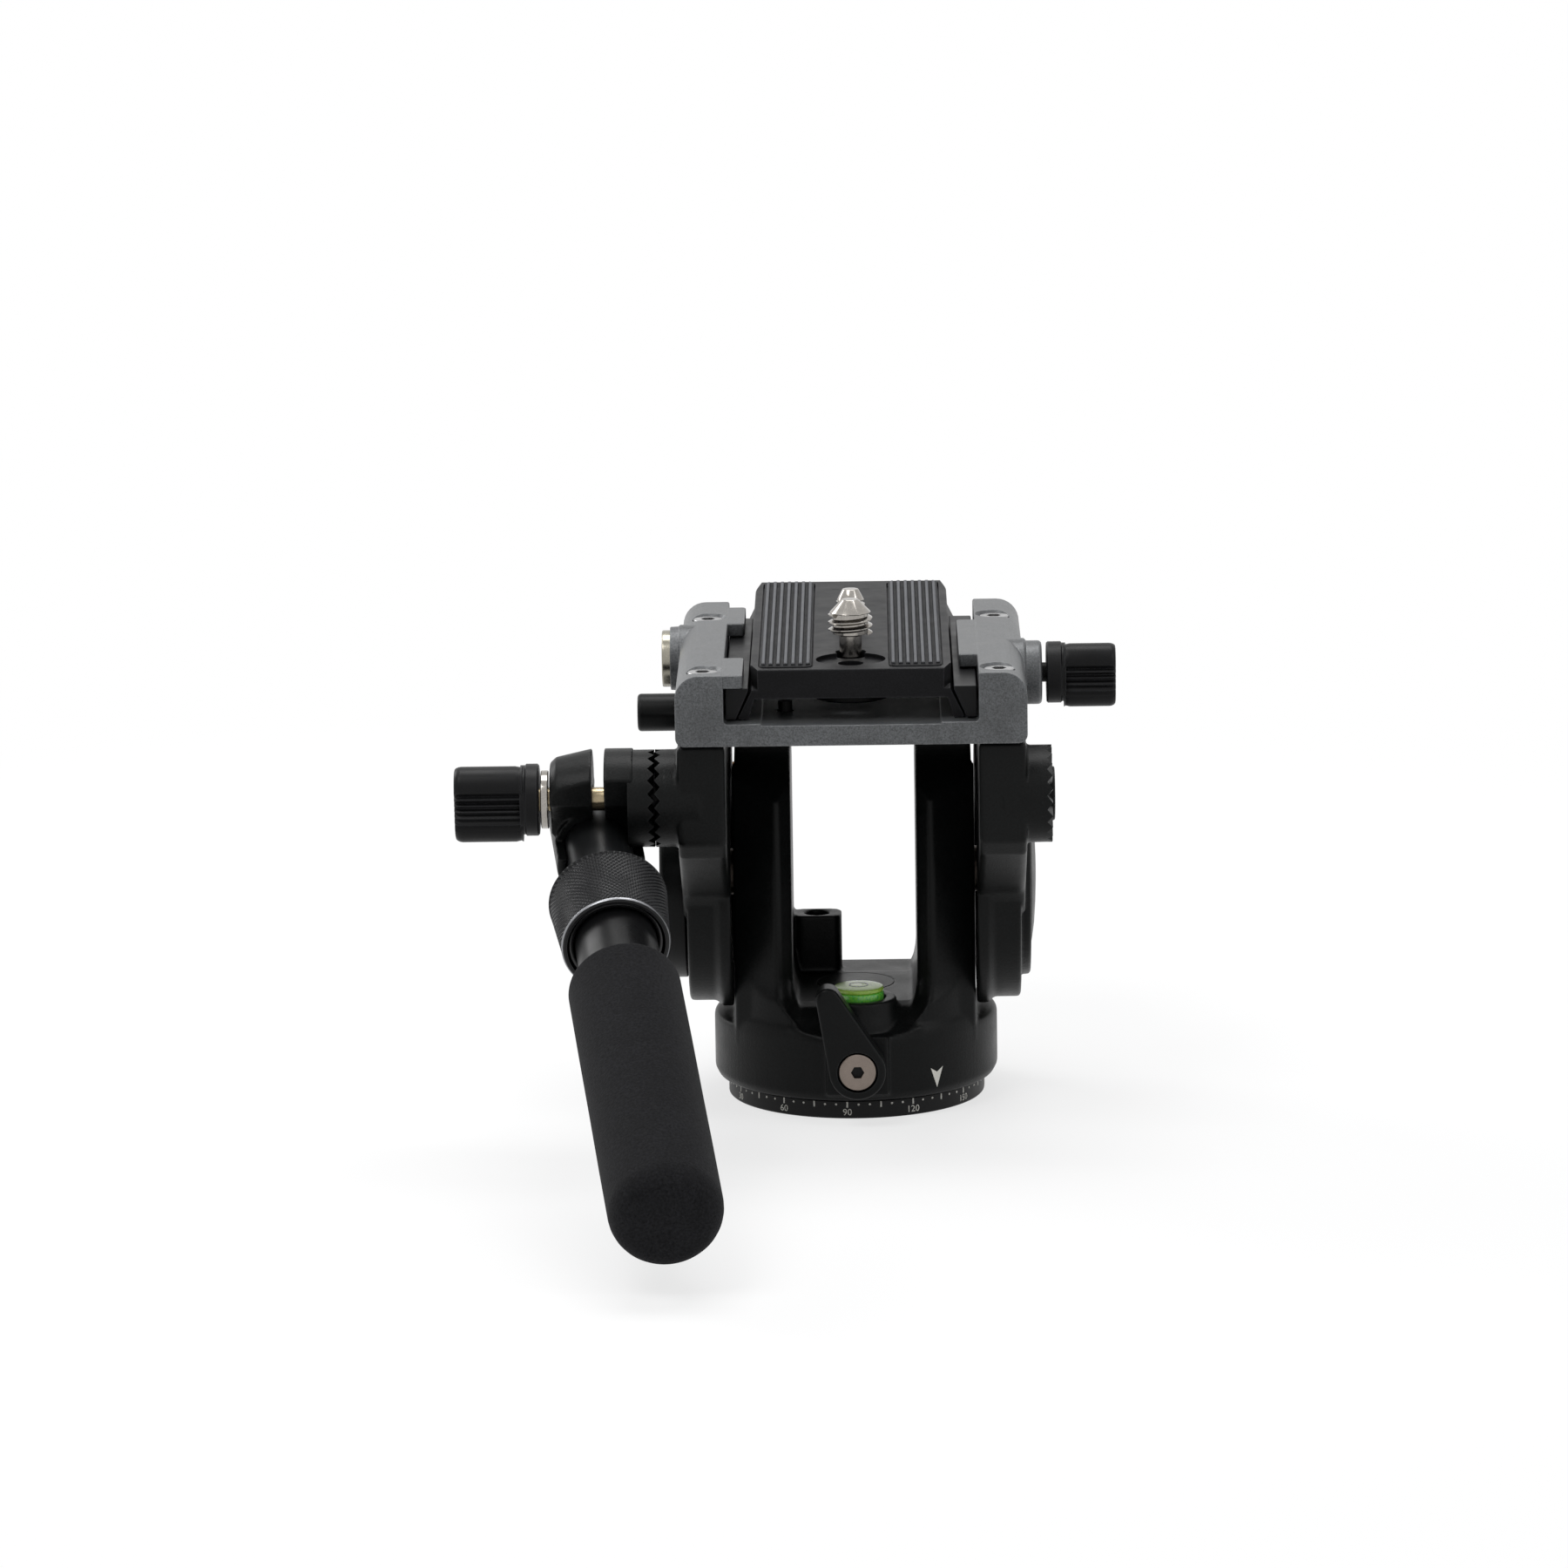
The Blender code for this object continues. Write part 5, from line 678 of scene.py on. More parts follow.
def make_housing():
    """One casting: round case, two concave skirts, pillars with flared feet, deck, pedestal and boss."""
    case = [(29.2, 4.3), (30.0, 4.5, 0.6), (30.9, 6.2, 1.2), (30.9, 19, 1.8), (28, 19)]
    solids = [turned("case", case, sides=128)]
    skirt = [(29.6, 12), (29.6, 17.6), (28.9, 19.0), (27.7, 20.8), (26.6, 23.0), (25.6, 26.0), (25.0, 29)]
    for side in (-1, 1):
        near, far = sorted((side * 13.5, side * 26.2))
        solid = turned("skirt", skirt, sides=128)
        solids.append(common(solid, slab("window", (near, -30, 0), (far, 30, 34))))
        plan = [(-6.06, -19.5, 1), (-3, -23, 1), (6.6, -17, 1), (6.6, -13.6, 0)]
        plan += [(6.1, -12.9, 0), (6.1, 17, 1), (-3, 23, 1), (-6.06, 19.5, 1)]
        plan = eased([(side * u, v, r) for u, v, r in plan], 2, True)
        centre = shifted(UPRIGHT, side * 19.5)
        crown = arc(30, 0, 180, 48, 0, TILT_Z) + [(-30, 5), (30, 5)]
        pillar = drawn("pillar", plan, 14.6, 90, centre)
        solids.append(common(pillar, drawn("crown", crown, -31, 31, TO_RIGHT)))
        flare = [(16, 1.66, 1.44), (19.0, 1.6, 1.4), (20.3, 1.5, 1.31), (21.8, 1.36, 1.21)]
        flare += [(23.6, 1.22, 1.12), (25.8, 1.09, 1.05), (28, 1.03, 1.01), (30.5, 0.99, 0.995)]
        rim = [(30.8, 10), (30.8, 18.2), (30.4, 19.6), (29.7, 20.8), (29.6, 23), (29.6, 40)]
        foot = common(drawn("foot", plan, 14.8, 0, centre, flare), turned("rim", rim, sides=128))
        solids.append(common(foot, slab("window", (-26.2, -32, 10), (26.2, 32, 40))))
    deck = [(-23.7, 15), (-23.7, 23.6), (-10.5, 23.6), (-10.5, 24), (18.6, 24)]
    deck += [(21.4, 23.4), (24.6, 21.4), (30, 18.4), (30, 15)]
    deck = drawn("deck", deck, -14.1, 14.1, facing((0, -1, 0), (0, 0, 1), (1, 0, 0)))
    solids.append(common(deck, turned("rim", [(30.6, 10), (30.6, 30)], sides=128)))
    pedestal = [(9.2, 14), (9.2, 19), (8.9, 21), (8.4, 23), (8.2, 25), (8.2, 25.7, 0.4), (7, 25.7)]
    solids.append(turned("pedestal", pedestal, LEVEL_AT, 64))
    solids.append(slab("pad", (-6.7, 5.9, 27), (6.7, 18.9, 31.5), at=shifted(TO_FRONT, 0.3)))
    solids.append(slab("boss", (-13.7, 9.1, 14), (-2.9, 17.3, 36.7), corner=2.2))

    cavity = [(26.8, -1), (26.8, 5.3), (20, 5.3), (20, 14), (13, 14), (13, 17.3), (5.4, 17.3), (5.4, 18.8)]
    cavity += [(8.35, 18.8), (8.35, 24.1)]
    lock = [(4.1, 5), (4.1, 27.2), (2.7, 27.2), (2.7, 40)]
    tools = [turned("cavity", cavity), bore(5.8, 22.9, 40, LEVEL_AT)]
    tools.append(bore(2.7, 25.7, 40, shifted(UPRIGHT, -8.3, 13.2)))
    tools.append(turned("lock", lock, PAN_LOCK_AT, 32))
    for at in (TO_RIGHT, TO_LEFT):
        hollow = [(8.6, 14.9), (8.6, 19.4), (15.4, 19.4), (15.4, 30)]
        tools.append(turned("hollow", hollow, shifted(at, 0, 0, TILT_Z), 64))
    body = cast("pan_housing_casting", solids, tools, grid=0.42, keep=0.34)
    hand_over(body, "pan_head", "black_powder_coat", "pan_housing", weigh=False, smooth=60)
    cover = turned("shaft_cover_disc", [(8.36, 22.4), (8.36, 24), (5, 24)])
    carved(cover, bore(8.3, 20, 40, LEVEL_AT))
    hand_over(cover, "pan_head", "black_powder_coat", "shaft_cover")

    pointer = drawn("pointer", [(-1.55, 2.1), (0, 1.1), (1.55, 2.1), (0, -2.3)], 0, 0.06)
    wrapped(pointer, 30.93, radians(34.2), 8.6)
    hand_over(pointer, "pan_head", "white_print", smooth=10, weigh=False)


def make_level():
    """Round bubble level: a green cup, the liquid under a domed lens, the centre ring and the bubble."""
    cup = [(5.3, 23.2), (5.5, 23.5), (5.5, 26.9, 0.2), (5.1, 27.1)]
    hand_over(turned("level_cup", cup, LEVEL_AT, 64), "pan_head", "green_acrylic", "bubble_level")
    lens = [(5.1, 27.05), (5.45, 27.3, 0.2), (5.35, 28.0, 0.35), (4.2, 28.18), (2.4, 28.24), (0.3, 28.26)]
    hand_over(turned("level_lens", lens, LEVEL_AT, 64), "pan_head", "level_liquid")
    ring = [(1.85, 28.1), (2.1, 28.1), (2.1, 28.29), (1.85, 28.29)]
    hand_over(turned("level_ring", ring, LEVEL_AT, 48, bored=True), "pan_head", "level_ring")
    drop = [(1.3, 28.1), (1.3, 28.24), (1.1, 28.28), (0.6, 28.3), (0.1, 28.3)]
    hand_over(turned("level_bubble", drop, shifted(LEVEL_AT, -0.5, 0.2), 32), "pan_head", "level_bubble")


# Pan lock

def socket_screw(name, radius, low, high, key, depth, at, shank):
    """A turned screw with a hexagon socket in its head. The shank is given as (radius, lower end)."""
    profile = [(shank[0] - 0.3, shank[1]), (shank[0], shank[1] + 0.3), (shank[0], low), (radius, low)]
    profile += [(radius, high, 0.3), (radius * 0.55, high)]
    head = turned(name, profile, at, 48)
    return carved(head, drawn("key", hexagon(key), high - depth, high + 1, at))


def painted_socket_shade(key, height, at):
    """A dark disc at the bottom of a hexagon socket: painted shade in the recess."""
    return drawn("painted_socket_shade", hexagon(key * 0.985), height - 1.2, height, at)


def make_pan_lock():
    at = PAN_LOCK_AT
    lever = drawn("pan_lever", hull((0, 0, 6.1), (-6.2, 15.9, 2.6)), 31.9, 38, at)
    eased_edges(lever, 0.75, segments=3, angle=60)
    carved(lever, bore(2.7, 30, 40, at), bore(4.4, 35.1, 40, at))
    hand_over(lever, "pan_lock", "black_lever_coat", "pan_lock_lever")
    key = 1.44
    screw = socket_screw("pan_lever_screw", 4.05, 35.4, 37.8, key, 2.1, at, shank=(2.4, 25.2))
    hand_over(screw, "pan_lock", "turned_stainless", "pan_lock_screw")
    # A dark disc in the socket: painted shade
    hand_over(painted_socket_shade(key, 36.7, at), "pan_lock", "black_oxide_steel")


# Tilt arms

def select_points(obj, wanted):
    """In edit mode, selects the points whose place the test accepts."""
    bpy.ops.mesh.select_mode(type="VERT")
    bpy.ops.mesh.select_all(action="DESELECT")
    mesh = bmesh.from_edit_mesh(obj.data)
    for point in mesh.verts:
        point.select = wanted(point.co)
    mesh.select_flush(True)
    bmesh.update_edit_mesh(obj.data)


def toothed(name, root, valley, crest, at, odd=True):
    """A boss with 22 radial teeth.

    A disc is extruded and inset, its middle sunk, and every second point of both rims is pressed in."""
    rim, inner, count = 10.35, 5.8, 44
    obj = circle(name, count, rim, root, "NGON")
    extrude(0, 0, crest - root)
    extrude(0, 0, 0)
    bpy.ops.transform.resize(value=(inner / rim, inner / rim, 1), center_override=(0, 0, crest))
    extrude(0, 0, valley - crest)

    def press_in(radius, share):
        def test(place):
            step = round(atan2(place.y, place.x) / (2 * pi / count))
            on_rim = abs(place.z - crest) < 1e-4 and abs(place.xy.length - radius) < 0.01
            return on_rim and (step % 2 == 1) == odd
        select_points(obj, test)
        bpy.ops.transform.translate(value=(0, 0, (valley - crest) * share))

    press_in(rim, 1.0)
    press_in(inner, inner / rim)
    close_up()
    return put(obj, at)


def make_arm(side):
    """A stepped round drum with the block that carries the platform, and the toothed boss."""
    right = side == "right"
    way, sign = (TO_RIGHT, 1) if right else (TO_LEFT, -1)
    at = shifted(way, 0, 0, TILT_Z)
    profile = [(29.0, 26.5), (29.3, 26.8), (29.3, 28.8, 0.5), (28, 30.3, 0.5), (28, 36, 0.8)]
    if right:
        profile += [(23.2, 36), (23.2, 38.2, 0.8)]
    profile += [(20, profile[-1][1])]
    solids = [turned("drum", profile, at, 128)]
    outline = [(-54.5, 87.7), (-54.5, 66.5, 2), (-51.5, 63, 2), (-30, 50, 8), (-25, 44)]
    outline += [(0, 49), (13, 60), (13, 84.4, 1), (30, 84.4, 1.5), (30, 87.7)]
    block = drawn("block", eased(outline, 3, True), 26.7, 36.8, way)
    solids.append(eased_edges(block, 1.2, angle=50))
    if not right:
        lobe = [(0, 49), (24, 56, 3), (30, 64, 3), (30, 84.5), (0, 84.5)]
        solids.append(drawn("lobe", eased(lobe, 3, True), 26.7, 30.9, way))
    boss_at = shifted(way, 0, ROSETTE_Y, ROSETTE_Z)
    face = 41.1 if right else 40.5
    solids.append(turned("boss", [(10.35, 32), (10.35, face - 0.4), (9, face - 0.4)], boss_at, 88))

    hollow = [(21, 20), (21, 34), (9, 34), (9, 27.4), (5.3, 27.4), (5.3, 34.5), (8, 34.5), (8, 36.7)]
    hollow += [(16.9, 36.7), (16.9, 50)] if right else [(8, 50)]
    tools = [turned("hollow", hollow, at, 64), bore(2.9, 31, 50, boss_at, 32)]
    for y in (CAP_SCREW_FRONT, CAP_SCREW_REAR):
        tools.append(bore(2.2, 84.5, 100, shifted(UPRIGHT, sign * CAP_SCREW_X, y), 24))
    if not right:
        # The room that the lock lever swings in, from its rest to 30 degrees on
        rest, swung, reach = radians(73.95), radians(43.95), 14.46
        fan = arc(4.5, 163.95, 73.95, 8, reach * cos(rest), reach * sin(rest))
        fan += arc(reach + 4.5, 70, 48, 6)
        fan += arc(4.5, 43.95, -46.05, 8, reach * cos(swung), reach * sin(swung))
        fan += arc(6.4, -46.05, -196.05, 16)
        tools += [bore(23.3, 36, 50, at, 96), drawn("swing", fan, 30.86, 50, TILT_LOCK_AT)]
        tools.append(turned("shoe", [(3.7, 20), (3.7, 28.7), (2.3, 28.7), (2.3, 50)], TILT_LOCK_AT, 32))
    body = cast("tilt_arm_casting_" + side, solids, tools, grid=0.36, keep=0.36, rounds=3)
    hand_over(body, "tilt_head", "black_powder_coat", "tilt_arm_" + side, smooth=40, weigh=False)
    crest, valley = (42.25, 41.1) if right else (41.7, 40.5)
    teeth = toothed("face_teeth_" + side, face - 1.2, valley, crest, boss_at)
    middle = 5.75 if right else 5.5
    united(teeth, turned("centre", [(middle, face - 1.0), (middle, 42.85, 0.4), (4, 42.85)], boss_at, 64))
    carved(teeth, bore(2.9, 31, 50, boss_at, 32))
    hand_over(teeth, "tilt_head", "black_powder_coat", smooth=20)


def make_drum_caps():
    at = shifted(TO_RIGHT, 0, 0, TILT_Z)
    dome = [(16.2, 37.0), (16.6, 37.3), (16.6, 38.4, 0.5), (15.2, 38.65), (12.0, 39.1)]
    dome = turned("drum_cap", dome + [(8, 39.4), (4, 39.56), (0.6, 39.6)], at, 128, steps=4)
    hand_over(dome, "tilt_head", "black_powder_coat", "drum_cover_right")

    at = shifted(TO_LEFT, 0, 0, TILT_Z)
    dial = [(2.1, 29), (2.3, 29.2), (2.3, 39.3), (20.9, 39.3), (20.9, 36.4), (22.9, 36.4, 0.3)]
    dial += [(22.9, 41.9, 1.2), (15.5, 41.9, 0.3), (14.9, 41.3, 0.3), (3.2, 41.3, 0.2)]
    dial += [(3.0, 41.0), (0.8, 41.0)]
    hand_over(turned("drag_dial", dial, at, 144), "tilt_dial", "black_lever_coat", "tilt_drag_dial")


def make_tilt_lock():
    at = TILT_LOCK_AT
    lever = drawn("tilt_lever", hull((0, 0, 6), (4, 13.9, 4.05)), 31.3, 36, at)
    eased_edges(lever, 0.5, angle=60)
    rod = [(3.9, 31.5), (4.15, 31.7), (4.15, 47.3, 0.8), (2, 47.3)]
    united(lever, turned("rod", rod, shifted(TO_LEFT, 0, 24, 79.9), 64, steps=4))
    carved(lever, bore(2.3, 20, 50, at, 32), bore(4.0, 33.5, 50, at, 48))
    hand_over(lever, "tilt_lock", "black_lever_coat", "tilt_lock_lever")
    screw = socket_screw("tilt_lever_screw", 3.7, 33.8, 36, 1.44, 1.4, at, shank=(2.0, 28.7))
    hand_over(screw, "tilt_lock", "zinc_plated_steel", "tilt_lock_screw")


# Platform

def make_platform():
    """Die-cast platform: a wide channel between rounded shoulders, lips over the rails, two side bosses."""
    half = [(0, 92.4), (18.9, 92.4), (18.9, 92.8), (26.8, 92.8, 0.9), (26.8, 103.2, 0.5)]
    half += [(37, 103.2, 5.4), (37, 88, 1.9)]
    body = drawn("platform_casting", eased(both_sides(half), 8, True), -57, 31, TO_BACK)
    eased_edges(body, 0.95, segments=3, angle=60)
    lips = (
        (-27.4, -22.7, -56.6, -35.8),
        (-27.4, -23.1, 4.3, 24.6),
        (22.9, 27.4, -35.0, 6.2),
    )
    for x0, x1, y0, y1 in lips:
        united(body, slab("lip", (x0, y0, 100.3), (x1, y1, 103.1), corner=0.7, edge=0.35))
    knob_boss = [(7.4, 31), (7.4, 37.1, 0.5), (6.85, 37.6), (6.85, 40.9, 0.8), (4, 40.9)]
    united(body, turned("boss", knob_boss, KNOB_AT, 64))
    button_boss = [(7.3, 31), (7.3, 37.1, 0.4), (6.95, 37.5), (6.85, 39.3, 0.3), (6.5, 39.3)]
    united(body, turned("boss", button_boss, BUTTON_AT, 64))
    carved(body, bore(2.4, 22.9, 60, KNOB_AT, 32))
    well = [(2.3, 20), (2.3, 32), (6.35, 32), (6.35, 50)]
    carved(body, turned("well", well, BUTTON_AT, 64))
    carved(body, bore(1.8, 88.3, 110, shifted(UPRIGHT, -14, -40), 32))
    for x in (-CAP_SCREW_X, CAP_SCREW_X):
        for y in (CAP_SCREW_FRONT, CAP_SCREW_REAR):
            seat = [(2.2, 80), (2.2, 97.9), (3.4, 97.9), (3.4, 102.2), (4.3, 103.3), (4.25, 110)]
            carved(body, turned("seat", seat, shifted(UPRIGHT, x, y), 48))
    hand_over(body, "tilt_head", "metallic_grey_paint", "top_platform")
    key = 1.6
    for x, side in ((-CAP_SCREW_X, "left"), (CAP_SCREW_X, "right")):
        for y, end in ((CAP_SCREW_FRONT, "front"), (CAP_SCREW_REAR, "rear")):
            at = shifted(UPRIGHT, x, y)
            which = "%s_%s" % (end, side)
            screw = socket_screw("cap_screw_" + which, 3.15, 98.2, 102.8, key, 2.3, at, shank=(1.9, 84.8))
            hand_over(screw, "tilt_head", "zinc_plated_steel", "platform_screw_" + which)
            # A dark disc in the socket: painted shade
            hand_over(painted_socket_shade(key, 100.9, at), "tilt_head", "black_oxide_steel")


def make_rails():
    """Dovetail rail on the left and clamp jaw on the right, with eased edges."""
    rails = (
        (-1, "dovetail_rail", "tilt_head", "left_dovetail_rail"),
        (1, "clamp_jaw", "plate_jaw", "plate_clamp_jaw"),
    )
    for sign, name, body, node in rails:
        section = [(24.25, 93.2), (26.4, 93.2, 0.3), (26.4, 99.9, 0.3), (21.6, 99.9, 0.2), (21.6, 99.2)]
        section = [(sign * c[0],) + c[1:] for c in section]
        rail = drawn(name, eased(section, 2, True), -54, 28.5, TO_BACK)
        hand_over(eased_edges(rail, 0.3, angle=60), body, "matte_abs", node)


# Sliding plate

def make_plate():
    """Extruded plate: dovetail flanks, tapered ends, two pad pockets, a counterbore and the screw holes."""
    half = [(0, 97.4), (20.4, 97.4, 0.5), (21.6, 93.1), (23.9, 93.1, 0.3), (20.9, 99.2, 0.2)]
    half.append((21.2, 103.6, 0.45))
    body = drawn("sliding_plate", eased(both_sides(half), 3, True), -53, 53, TO_BACK)
    common(body, slab("ends", (-24.4, -53, 92), (24.4, 53, 103.6), corner=0.7, edge=0.4))
    for sign in (-1, 1):
        front = [(21.3, -45.5), (19.5, -53.5), (26, -53.5), (26, -45.5)]
        rear = [(21.3, 41), (19.8, 53.5), (26, 53.5), (26, 41)]
        for corner in (front, rear):
            carved(body, drawn("corner", [(sign * u, v) for u, v in corner], 99.3, 110))
    for sign in (-1, 1):
        x0, x1 = sorted((sign * 7.9, sign * 19.5))
        carved(body, slab("pocket", (x0, -51.1, 102.7), (x1, 51.1, 110), corner=1.8))
    well = [(2.75, 90), (2.75, 102.7), (7.4, 102.7), (7.4, 110)]
    carved(body, turned("well", well, shifted(UPRIGHT, 0, -41.6), 64))
    for radius, y in ((3.3, LARGE_SCREW_Y), (2.5, SMALL_SCREW_Y)):
        carved(body, bore(radius, 90, 110, shifted(UPRIGHT, 0, y)))
    hand_over(body, "plate", "sandblasted_anodised", "quick_release_plate")
    dashes = [slab("dash", (x - 0.8, 42.5, 103.59), (x + 0.8, 42.9, 103.61)) for x in (-3.4, 3.4)]
    hand_over(gather("plate_marks", dashes), "plate", "dark_print", smooth=10, weigh=False)


def make_pad(sign, side):
    """Moulded rubber pad with seven round-topped ribs that stop short of its rounded ends."""
    ribs = 7
    pitch = 11.0 / ribs
    section = [(8.35, 103.1), (19.05, 103.1), (19.05, 103.7)]
    for k in reversed(range(ribs)):
        centre = 8.2 + pitch * (k + 0.5)
        section += [(centre + 0.6, 103.7, 0.25), (centre + 0.27, 104.4, 0.2)]
        section += [(centre - 0.27, 104.4, 0.2), (centre - 0.6, 103.7, 0.25)]
    section += [(8.35, 103.7)]
    section = [(sign * c[0],) + c[1:] for c in section]
    pad = drawn("ribbed_pad_" + side, eased(section, 3, True), -49.9, 49.9, TO_BACK)
    x0, x1 = sorted((sign * 8.2, sign * 19.2))
    common(pad, slab("limit", (x0, -49.6, 101), (x1, 49.6, 104.42), corner=1.4, edge=0.8))
    united(pad, slab("foot", (x0, -50.8, 102.8), (x1, 50.8, 103.85), corner=1.6, edge=0.2))
    hand_over(pad, "plate", "moulded_rubber", "plate_pad_" + side)


def camera_screw(name, body, node, y, radius, pitch, neck, low, top, tip, head):
    """A captive camera screw: a slotted head, a slim neck, and a thread that is wound as one helix."""
    at = shifted(UPRIGHT, 0, y)
    root = radius - 0.62 * pitch
    high = low + 2.4 * pitch
    crest = high + 0.25 * pitch
    disc = turned(name + "_head", [(head - 0.3, 94), (head, 94.3), (head, 97.1, 0.3), (2, 97.1)], at, 96)
    carved(disc, slab("slot", (-head - 1, y - 0.8, 90), (head + 1, y + 0.8, 95.5)))
    # The head is dark black oxide, darker than the polished thread: partly its finish, partly painted shade
    # of the hollow under the plate
    hand_over(disc, body, "black_oxide_steel")
    profile = [(neck, 97.0), (neck, low - 0.6), (root, low - 0.1)]
    profile += [(root, crest), (radius * 0.93, crest + 0.12 * pitch, 0.1)]
    profile += [(tip, top, 0.25), (tip * 0.4, top)]
    screw = turned(name, profile, at, 64)
    inner, outer, turns = root - 0.15, radius - 0.06, 2.6
    corners = [(inner, 0, low - 0.5 * pitch), (inner, 0, low + 0.42 * pitch)]
    corners += [(outer, 0, low + 0.03 * pitch), (outer, 0, low - 0.11 * pitch)]
    ridge = traced("thread", corners)
    bpy.ops.mesh.delete(type="ONLY_FACE")
    bpy.ops.object.mode_set(mode="OBJECT")
    apply_modifier(ridge, "SCREW", angle=radians(360 * turns), screw_offset=turns * pitch,
                   steps=140, render_steps=140, use_merge_vertices=False, axis="Z")
    bpy.ops.object.mode_set(mode="EDIT")
    bpy.ops.mesh.select_all(action="SELECT")
    bpy.ops.mesh.fill_holes(sides=8)
    close_up()
    put(ridge, at)
    united(screw, ridge)
    hand_over(screw, body, "polished_stainless", node, smooth=28)


# Knobs and button

def knob_outline(radius, ribs):
    """Three soft lobes, the first at 251 degrees, with fine ribs in the flanks between them."""
    lobe = 251
    points = []
    for k in range(240):
        angle = radians(1.5 * k)
        out = radius * (1 + 0.14 * cos(3 * (angle - radians(lobe))))
        from_flank = (1.5 * k - (lobe - 60) + 60) % 120 - 60
        if abs(from_flank) < 35:
            out -= 0.8 * (0.5 - 0.5 * cos(2 * pi * ribs * (from_flank + 35) / 70))
        points.append((out * cos(angle), out * sin(angle)))
    return points


def grip_rings(low, high, corner):
    """Heights and scales of a moulded grip: rounded at both ends, with a shallow cap in its face."""
    rings = [(low + 0.3 * corner, 0.972), (low + corner, 1.0), (high - corner, 1.0)]
    rings += [(high - 0.62 * corner, 0.988), (high - 0.3 * corner, 0.962), (high - 0.08 * corner, 0.925)]
    return rings + [(high, 0.87), (high, 0.72), (high - 0.25, 0.70), (high - 0.25, 0.3)]


def make_knobs():
    at = CLAMP_AT
    low, high = 69.7, 84.1
    rings = grip_rings(low, high, corner=1.5)
    knob = drawn("clamp_knob_grip", knob_outline(7.8, ribs=6), low, high, at, rings)
    hub = [(7.3, 66.3), (7.65, 66.6), (7.65, 69.0, 0.15), (7.35, 69.2), (7.35, 70.2), (5, 70.2)]
    united(knob, turned("hub", hub, at, 96))
    carved(knob, bore(2.8, 60, 78.99, at, 32))
    hand_over(knob, "clamp_knob", "matte_abs", "clamp_knob")
    stud = [(2.3, 34), (2.5, 34.2), (2.5, 78.7)]
    hand_over(turned("clamp_stud_shaft", stud, at, 48), "clamp_knob", "brass_stud", "clamp_stud")

    low, high = 45.6, 56.7
    rings = grip_rings(low, high, corner=1.3)
    knob = drawn("plate_knob_grip", knob_outline(6.6, ribs=5), low, high, KNOB_AT, rings)
    hub = [(1.9, 27), (2.1, 27.2), (2.1, 41.9), (6.3, 41.9), (6.6, 42.2)]
    hub += [(6.6, 45.0, 0.15), (6.3, 45.2), (6.3, 46.0), (4, 46.0)]
    united(knob, turned("hub", hub, KNOB_AT, 96))
    hand_over(knob, "plate_knob", "matte_abs", "plate_lock_knob")

    button = [(1.8, 30), (2.0, 30.2), (2.0, 38.5), (6.15, 38.5), (6.15, 41.1, 0.35), (5.2, 41.1)]
    button = turned("release_button", button + [(4.9, 40.9), (1.2, 40.95)], BUTTON_AT, 96)
    hand_over(button, "release_button", "satin_nickel", "safety_button")


# Handle clamp and handle

def make_clamp():
    """Split casting: a toothed disc, the ears round the stud and the cradle round the tube."""
    at = CLAMP_AT
    ears = [(10.7, 46.3), (10.7, 55), (9.0, 62.6, 0.8), (7.8, 63.9, 0.3), (6, 63.9)]
    level = cos(HANDLE_FALL)
    fall = sin(HANDLE_FALL)
    axis = (0, ROSETTE_Y + 11 * fall, ROSETTE_Z - 11 * level)
    side_view = facing((0, -level, -fall), (0, -fall, level), (-1, 0, 0), axis)
    outline = [(-10.5, 0), (2, 0), (2, 7), (3.4, 9.8), (6.6, 13.2), (6.6, 23), (-10.5, 23)]
    ear = common(turned("ears", ears, at, 96), drawn("trim", outline, 18, 84, side_view))
    shell = turned("cradle", [(9.4, -12, 0.8), (9.4, 9.5, 1.6), (7.6, 9.5)], ALONG_HANDLE, 96)
    carved(shell, drawn("top", [(-19, 2), (19, 2), (19, 19), (-19, 19)], 2, 19, ALONG_HANDLE))
    split = drawn("split", [(-19, 2), (19, 2), (19, 38), (-19, 38)], 52.4, 55, side_view)
    tools = [bore(7.55, -12.8, 23, ALONG_HANDLE, 96), split, bore(2.9, 28, 84, at, 32)]
    body = cast("handle_clamp_casting", [ear, shell], tools, grid=0.30, keep=0.4, rounds=2)
    hand_over(body, "clamp", "black_powder_coat", "handle_clamp", smooth=40, weigh=False)
    teeth = carved(toothed("clamp_teeth", 47.4, 43.2, 41.85, at, odd=False), bore(2.9, 28, 84, at, 32))
    hand_over(teeth, "clamp", "black_powder_coat", smooth=20)
    washer = [(2.8, 64.3), (6.2, 64.3, 0.25), (6.2, 65.9, 0.25), (2.8, 65.9)]
    washer = turned("knob_washer", washer, at, 64, bored=True)
    hand_over(washer, "clamp", "polished_stainless", "clamp_washer")


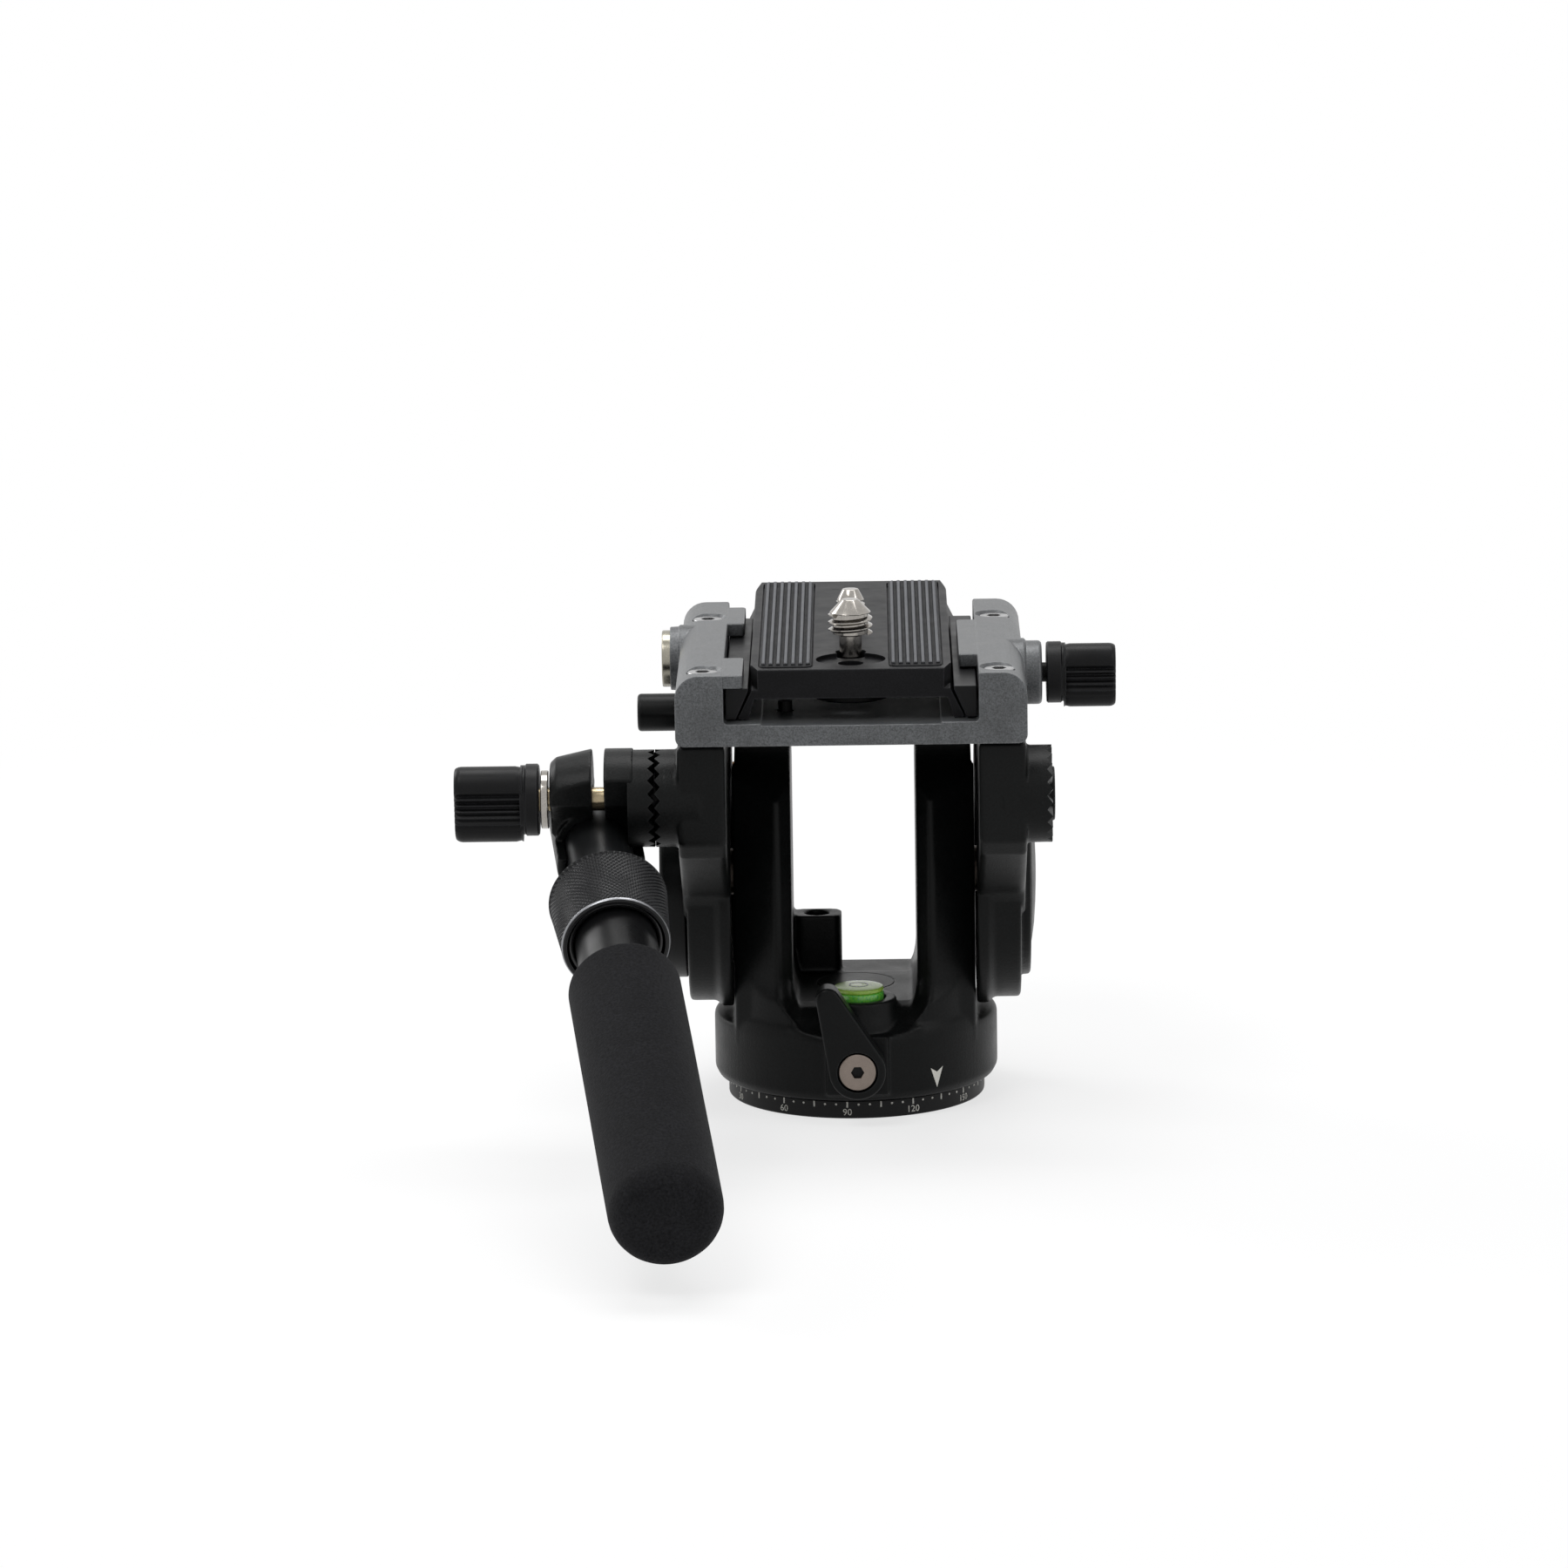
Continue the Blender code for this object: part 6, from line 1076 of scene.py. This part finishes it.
def make_handle():
    """Inner tube, knurled collar with its bush, outer tube and foam grip."""
    tube = [(0.06, -12.5), (2.5, -12.3), (4.6, -11.6), (6.2, -10.4), (7.05, -8.8)]
    tube += [(7.25, -7), (7.25, 125), (6.05, 125), (6.05, -6), (0.06, -9)]
    tube = turned("inner_tube", tube, ALONG_HANDLE, 96, bored=True)
    hand_over(tube, "clamp", "blasted_anodised_tube", "handle_inner_tube")

    # Diamond knurl with a 1.15 mm pitch, cut between two plain ends
    around, pitch, depth = 64, 1.15, 0.62
    first, last = 23.7, 39.9
    rows = int((last - first) / (pitch / 4))
    profile = [(7.65, 23), (12.2, 23), (12.55, 23.4)]
    for k in range(rows + 1):
        along = first + (last - first) * k / rows
        profile.append((12.6 - 1.1 * (along - 23) / 17.6, along))
    profile += [(11.15, 40.4), (10.75, 40.6), (10.3, 40.6), (10.3, 26), (7.65, 26)]
    collar = turned("knurled_collar", profile, UPRIGHT, 4 * around, bored=True)
    for point in collar.data.vertices:
        out = point.co.xy.length
        if out > 11.2 and first - 0.05 < point.co.z < last + 0.05:
            turn = around * atan2(point.co.y, point.co.x) / (2 * pi)
            up = (point.co.z - first) / pitch
            ridges = [abs(2 * ((t + 0.001) % 1) - 1) for t in (turn + up, turn - up)]
            shrink = 1 - depth * (1 - min(ridges)) / out
            point.co.x *= shrink
            point.co.y *= shrink
    put(collar, ALONG_HANDLE)
    hand_over(collar, "collar", "knurled_black_anodised", "handle_collar", smooth=20, weigh=False)
    rim = [(11.1, 40.3), (11.3, 39.95), (11.46, 39.95), (11.46, 40.02), (11.26, 40.38), (11.1, 40.38)]
    hand_over(turned("collar_chamfer", rim, ALONG_HANDLE, 168, bored=True), "collar", "bare_aluminium")
    bush = [(8.9, 35), (10, 35), (10, 40.2, 0.6), (8.9, 39.9, 0.3)]
    bush = turned("collar_ring", bush, ALONG_HANDLE, 96, bored=True)
    hand_over(bush, "handle", "gloss_abs", "collar_bush")
    collet = [(7.55, 26.4), (8.7, 26.4), (8.7, 29.6), (7.55, 29.6)]
    collet = turned("split_collet", collet, ALONG_HANDLE, 64, bored=True)
    hand_over(collet, "handle", "natural_acetal", "handle_collet")
    sleeve = [(7.6, 30), (8.6, 30), (8.6, 134.6), (7.6, 134.6)]
    sleeve = turned("outer_tube", sleeve, ALONG_HANDLE, 96, bored=True)
    hand_over(sleeve, "handle", "black_anodised_tube", "handle_outer_tube")

    grip = [(8.9, 57, 0.5), (11.7, 57, 1.3)]
    grip += [(11.7, 60), (11.7, 80), (11.65, 100), (11.65, 120), (11.6, 137)]
    for k in range(1, 9):
        turn = k * pi / 16
        grip.append((6.6 + 5.0 * cos(turn), 137 + 6.6 * sin(turn)))
    grip += [(3, 143.6), (0.06, 143.6), (0.06, 135), (8.9, 135)]
    foam = turned("foam_grip", grip, ALONG_HANDLE, 128, bored=True, steps=4)
    hand_over(foam, "handle", "closed_cell_foam", "handle_grip", smooth=60)


# Inner pieces that keep their CAD shape

INNER = {
    "natural_acetal": ("pan_thrust_washer", "tilt_drag_rotor_left", "tilt_drag_rotor_right"),
    "moulded_drag_plastic": ("pan_drag_rotor", "tilt_drag_cup_left", "tilt_drag_cup_right"),
    "turned_stainless": ("pan_bearing", "pan_shaft_nut", "tilt_axle_left", "tilt_axle_right",
                         "tilt_axle_nut_left", "tilt_axle_nut_right"),
    "black_oxide_steel": ("safety_stop_pin",),
    "sintered_bronze": ("pan_brake_shoe", "tilt_brake_shoe", "tilt_bushing_left", "tilt_bushing_right"),
    "oiled_spring_steel": ("counterbalance_spring", "safety_button_spring"),
}


def paint_inner_pieces():
    for name, nodes in INNER.items():
        for node in nodes:
            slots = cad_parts[node].data.materials
            slots.clear()
            slots.append(FINISHES[name][0])


set_camera()
start_fresh()
set_stage()
mix_finishes()
make_base()
make_housing()
make_level()
make_pan_lock()
make_arm("left")
make_arm("right")
make_drum_caps()
make_tilt_lock()
make_platform()
make_rails()
make_plate()
make_pad(-1, "left")
make_pad(1, "right")
camera_screw("large_camera_screw", "large_screw", "camera_screw_large", LARGE_SCREW_Y,
             radius=4.7625, pitch=1.5875, neck=2.4, low=107.8, top=115.0, tip=1.7, head=8.2)
camera_screw("small_camera_screw", "small_screw", "camera_screw_small", SMALL_SCREW_Y,
             radius=3.175, pitch=1.27, neck=2.2, low=105.2, top=111.1, tip=1.7, head=7.2)
make_knobs()
make_clamp()
make_handle()
paint_inner_pieces()
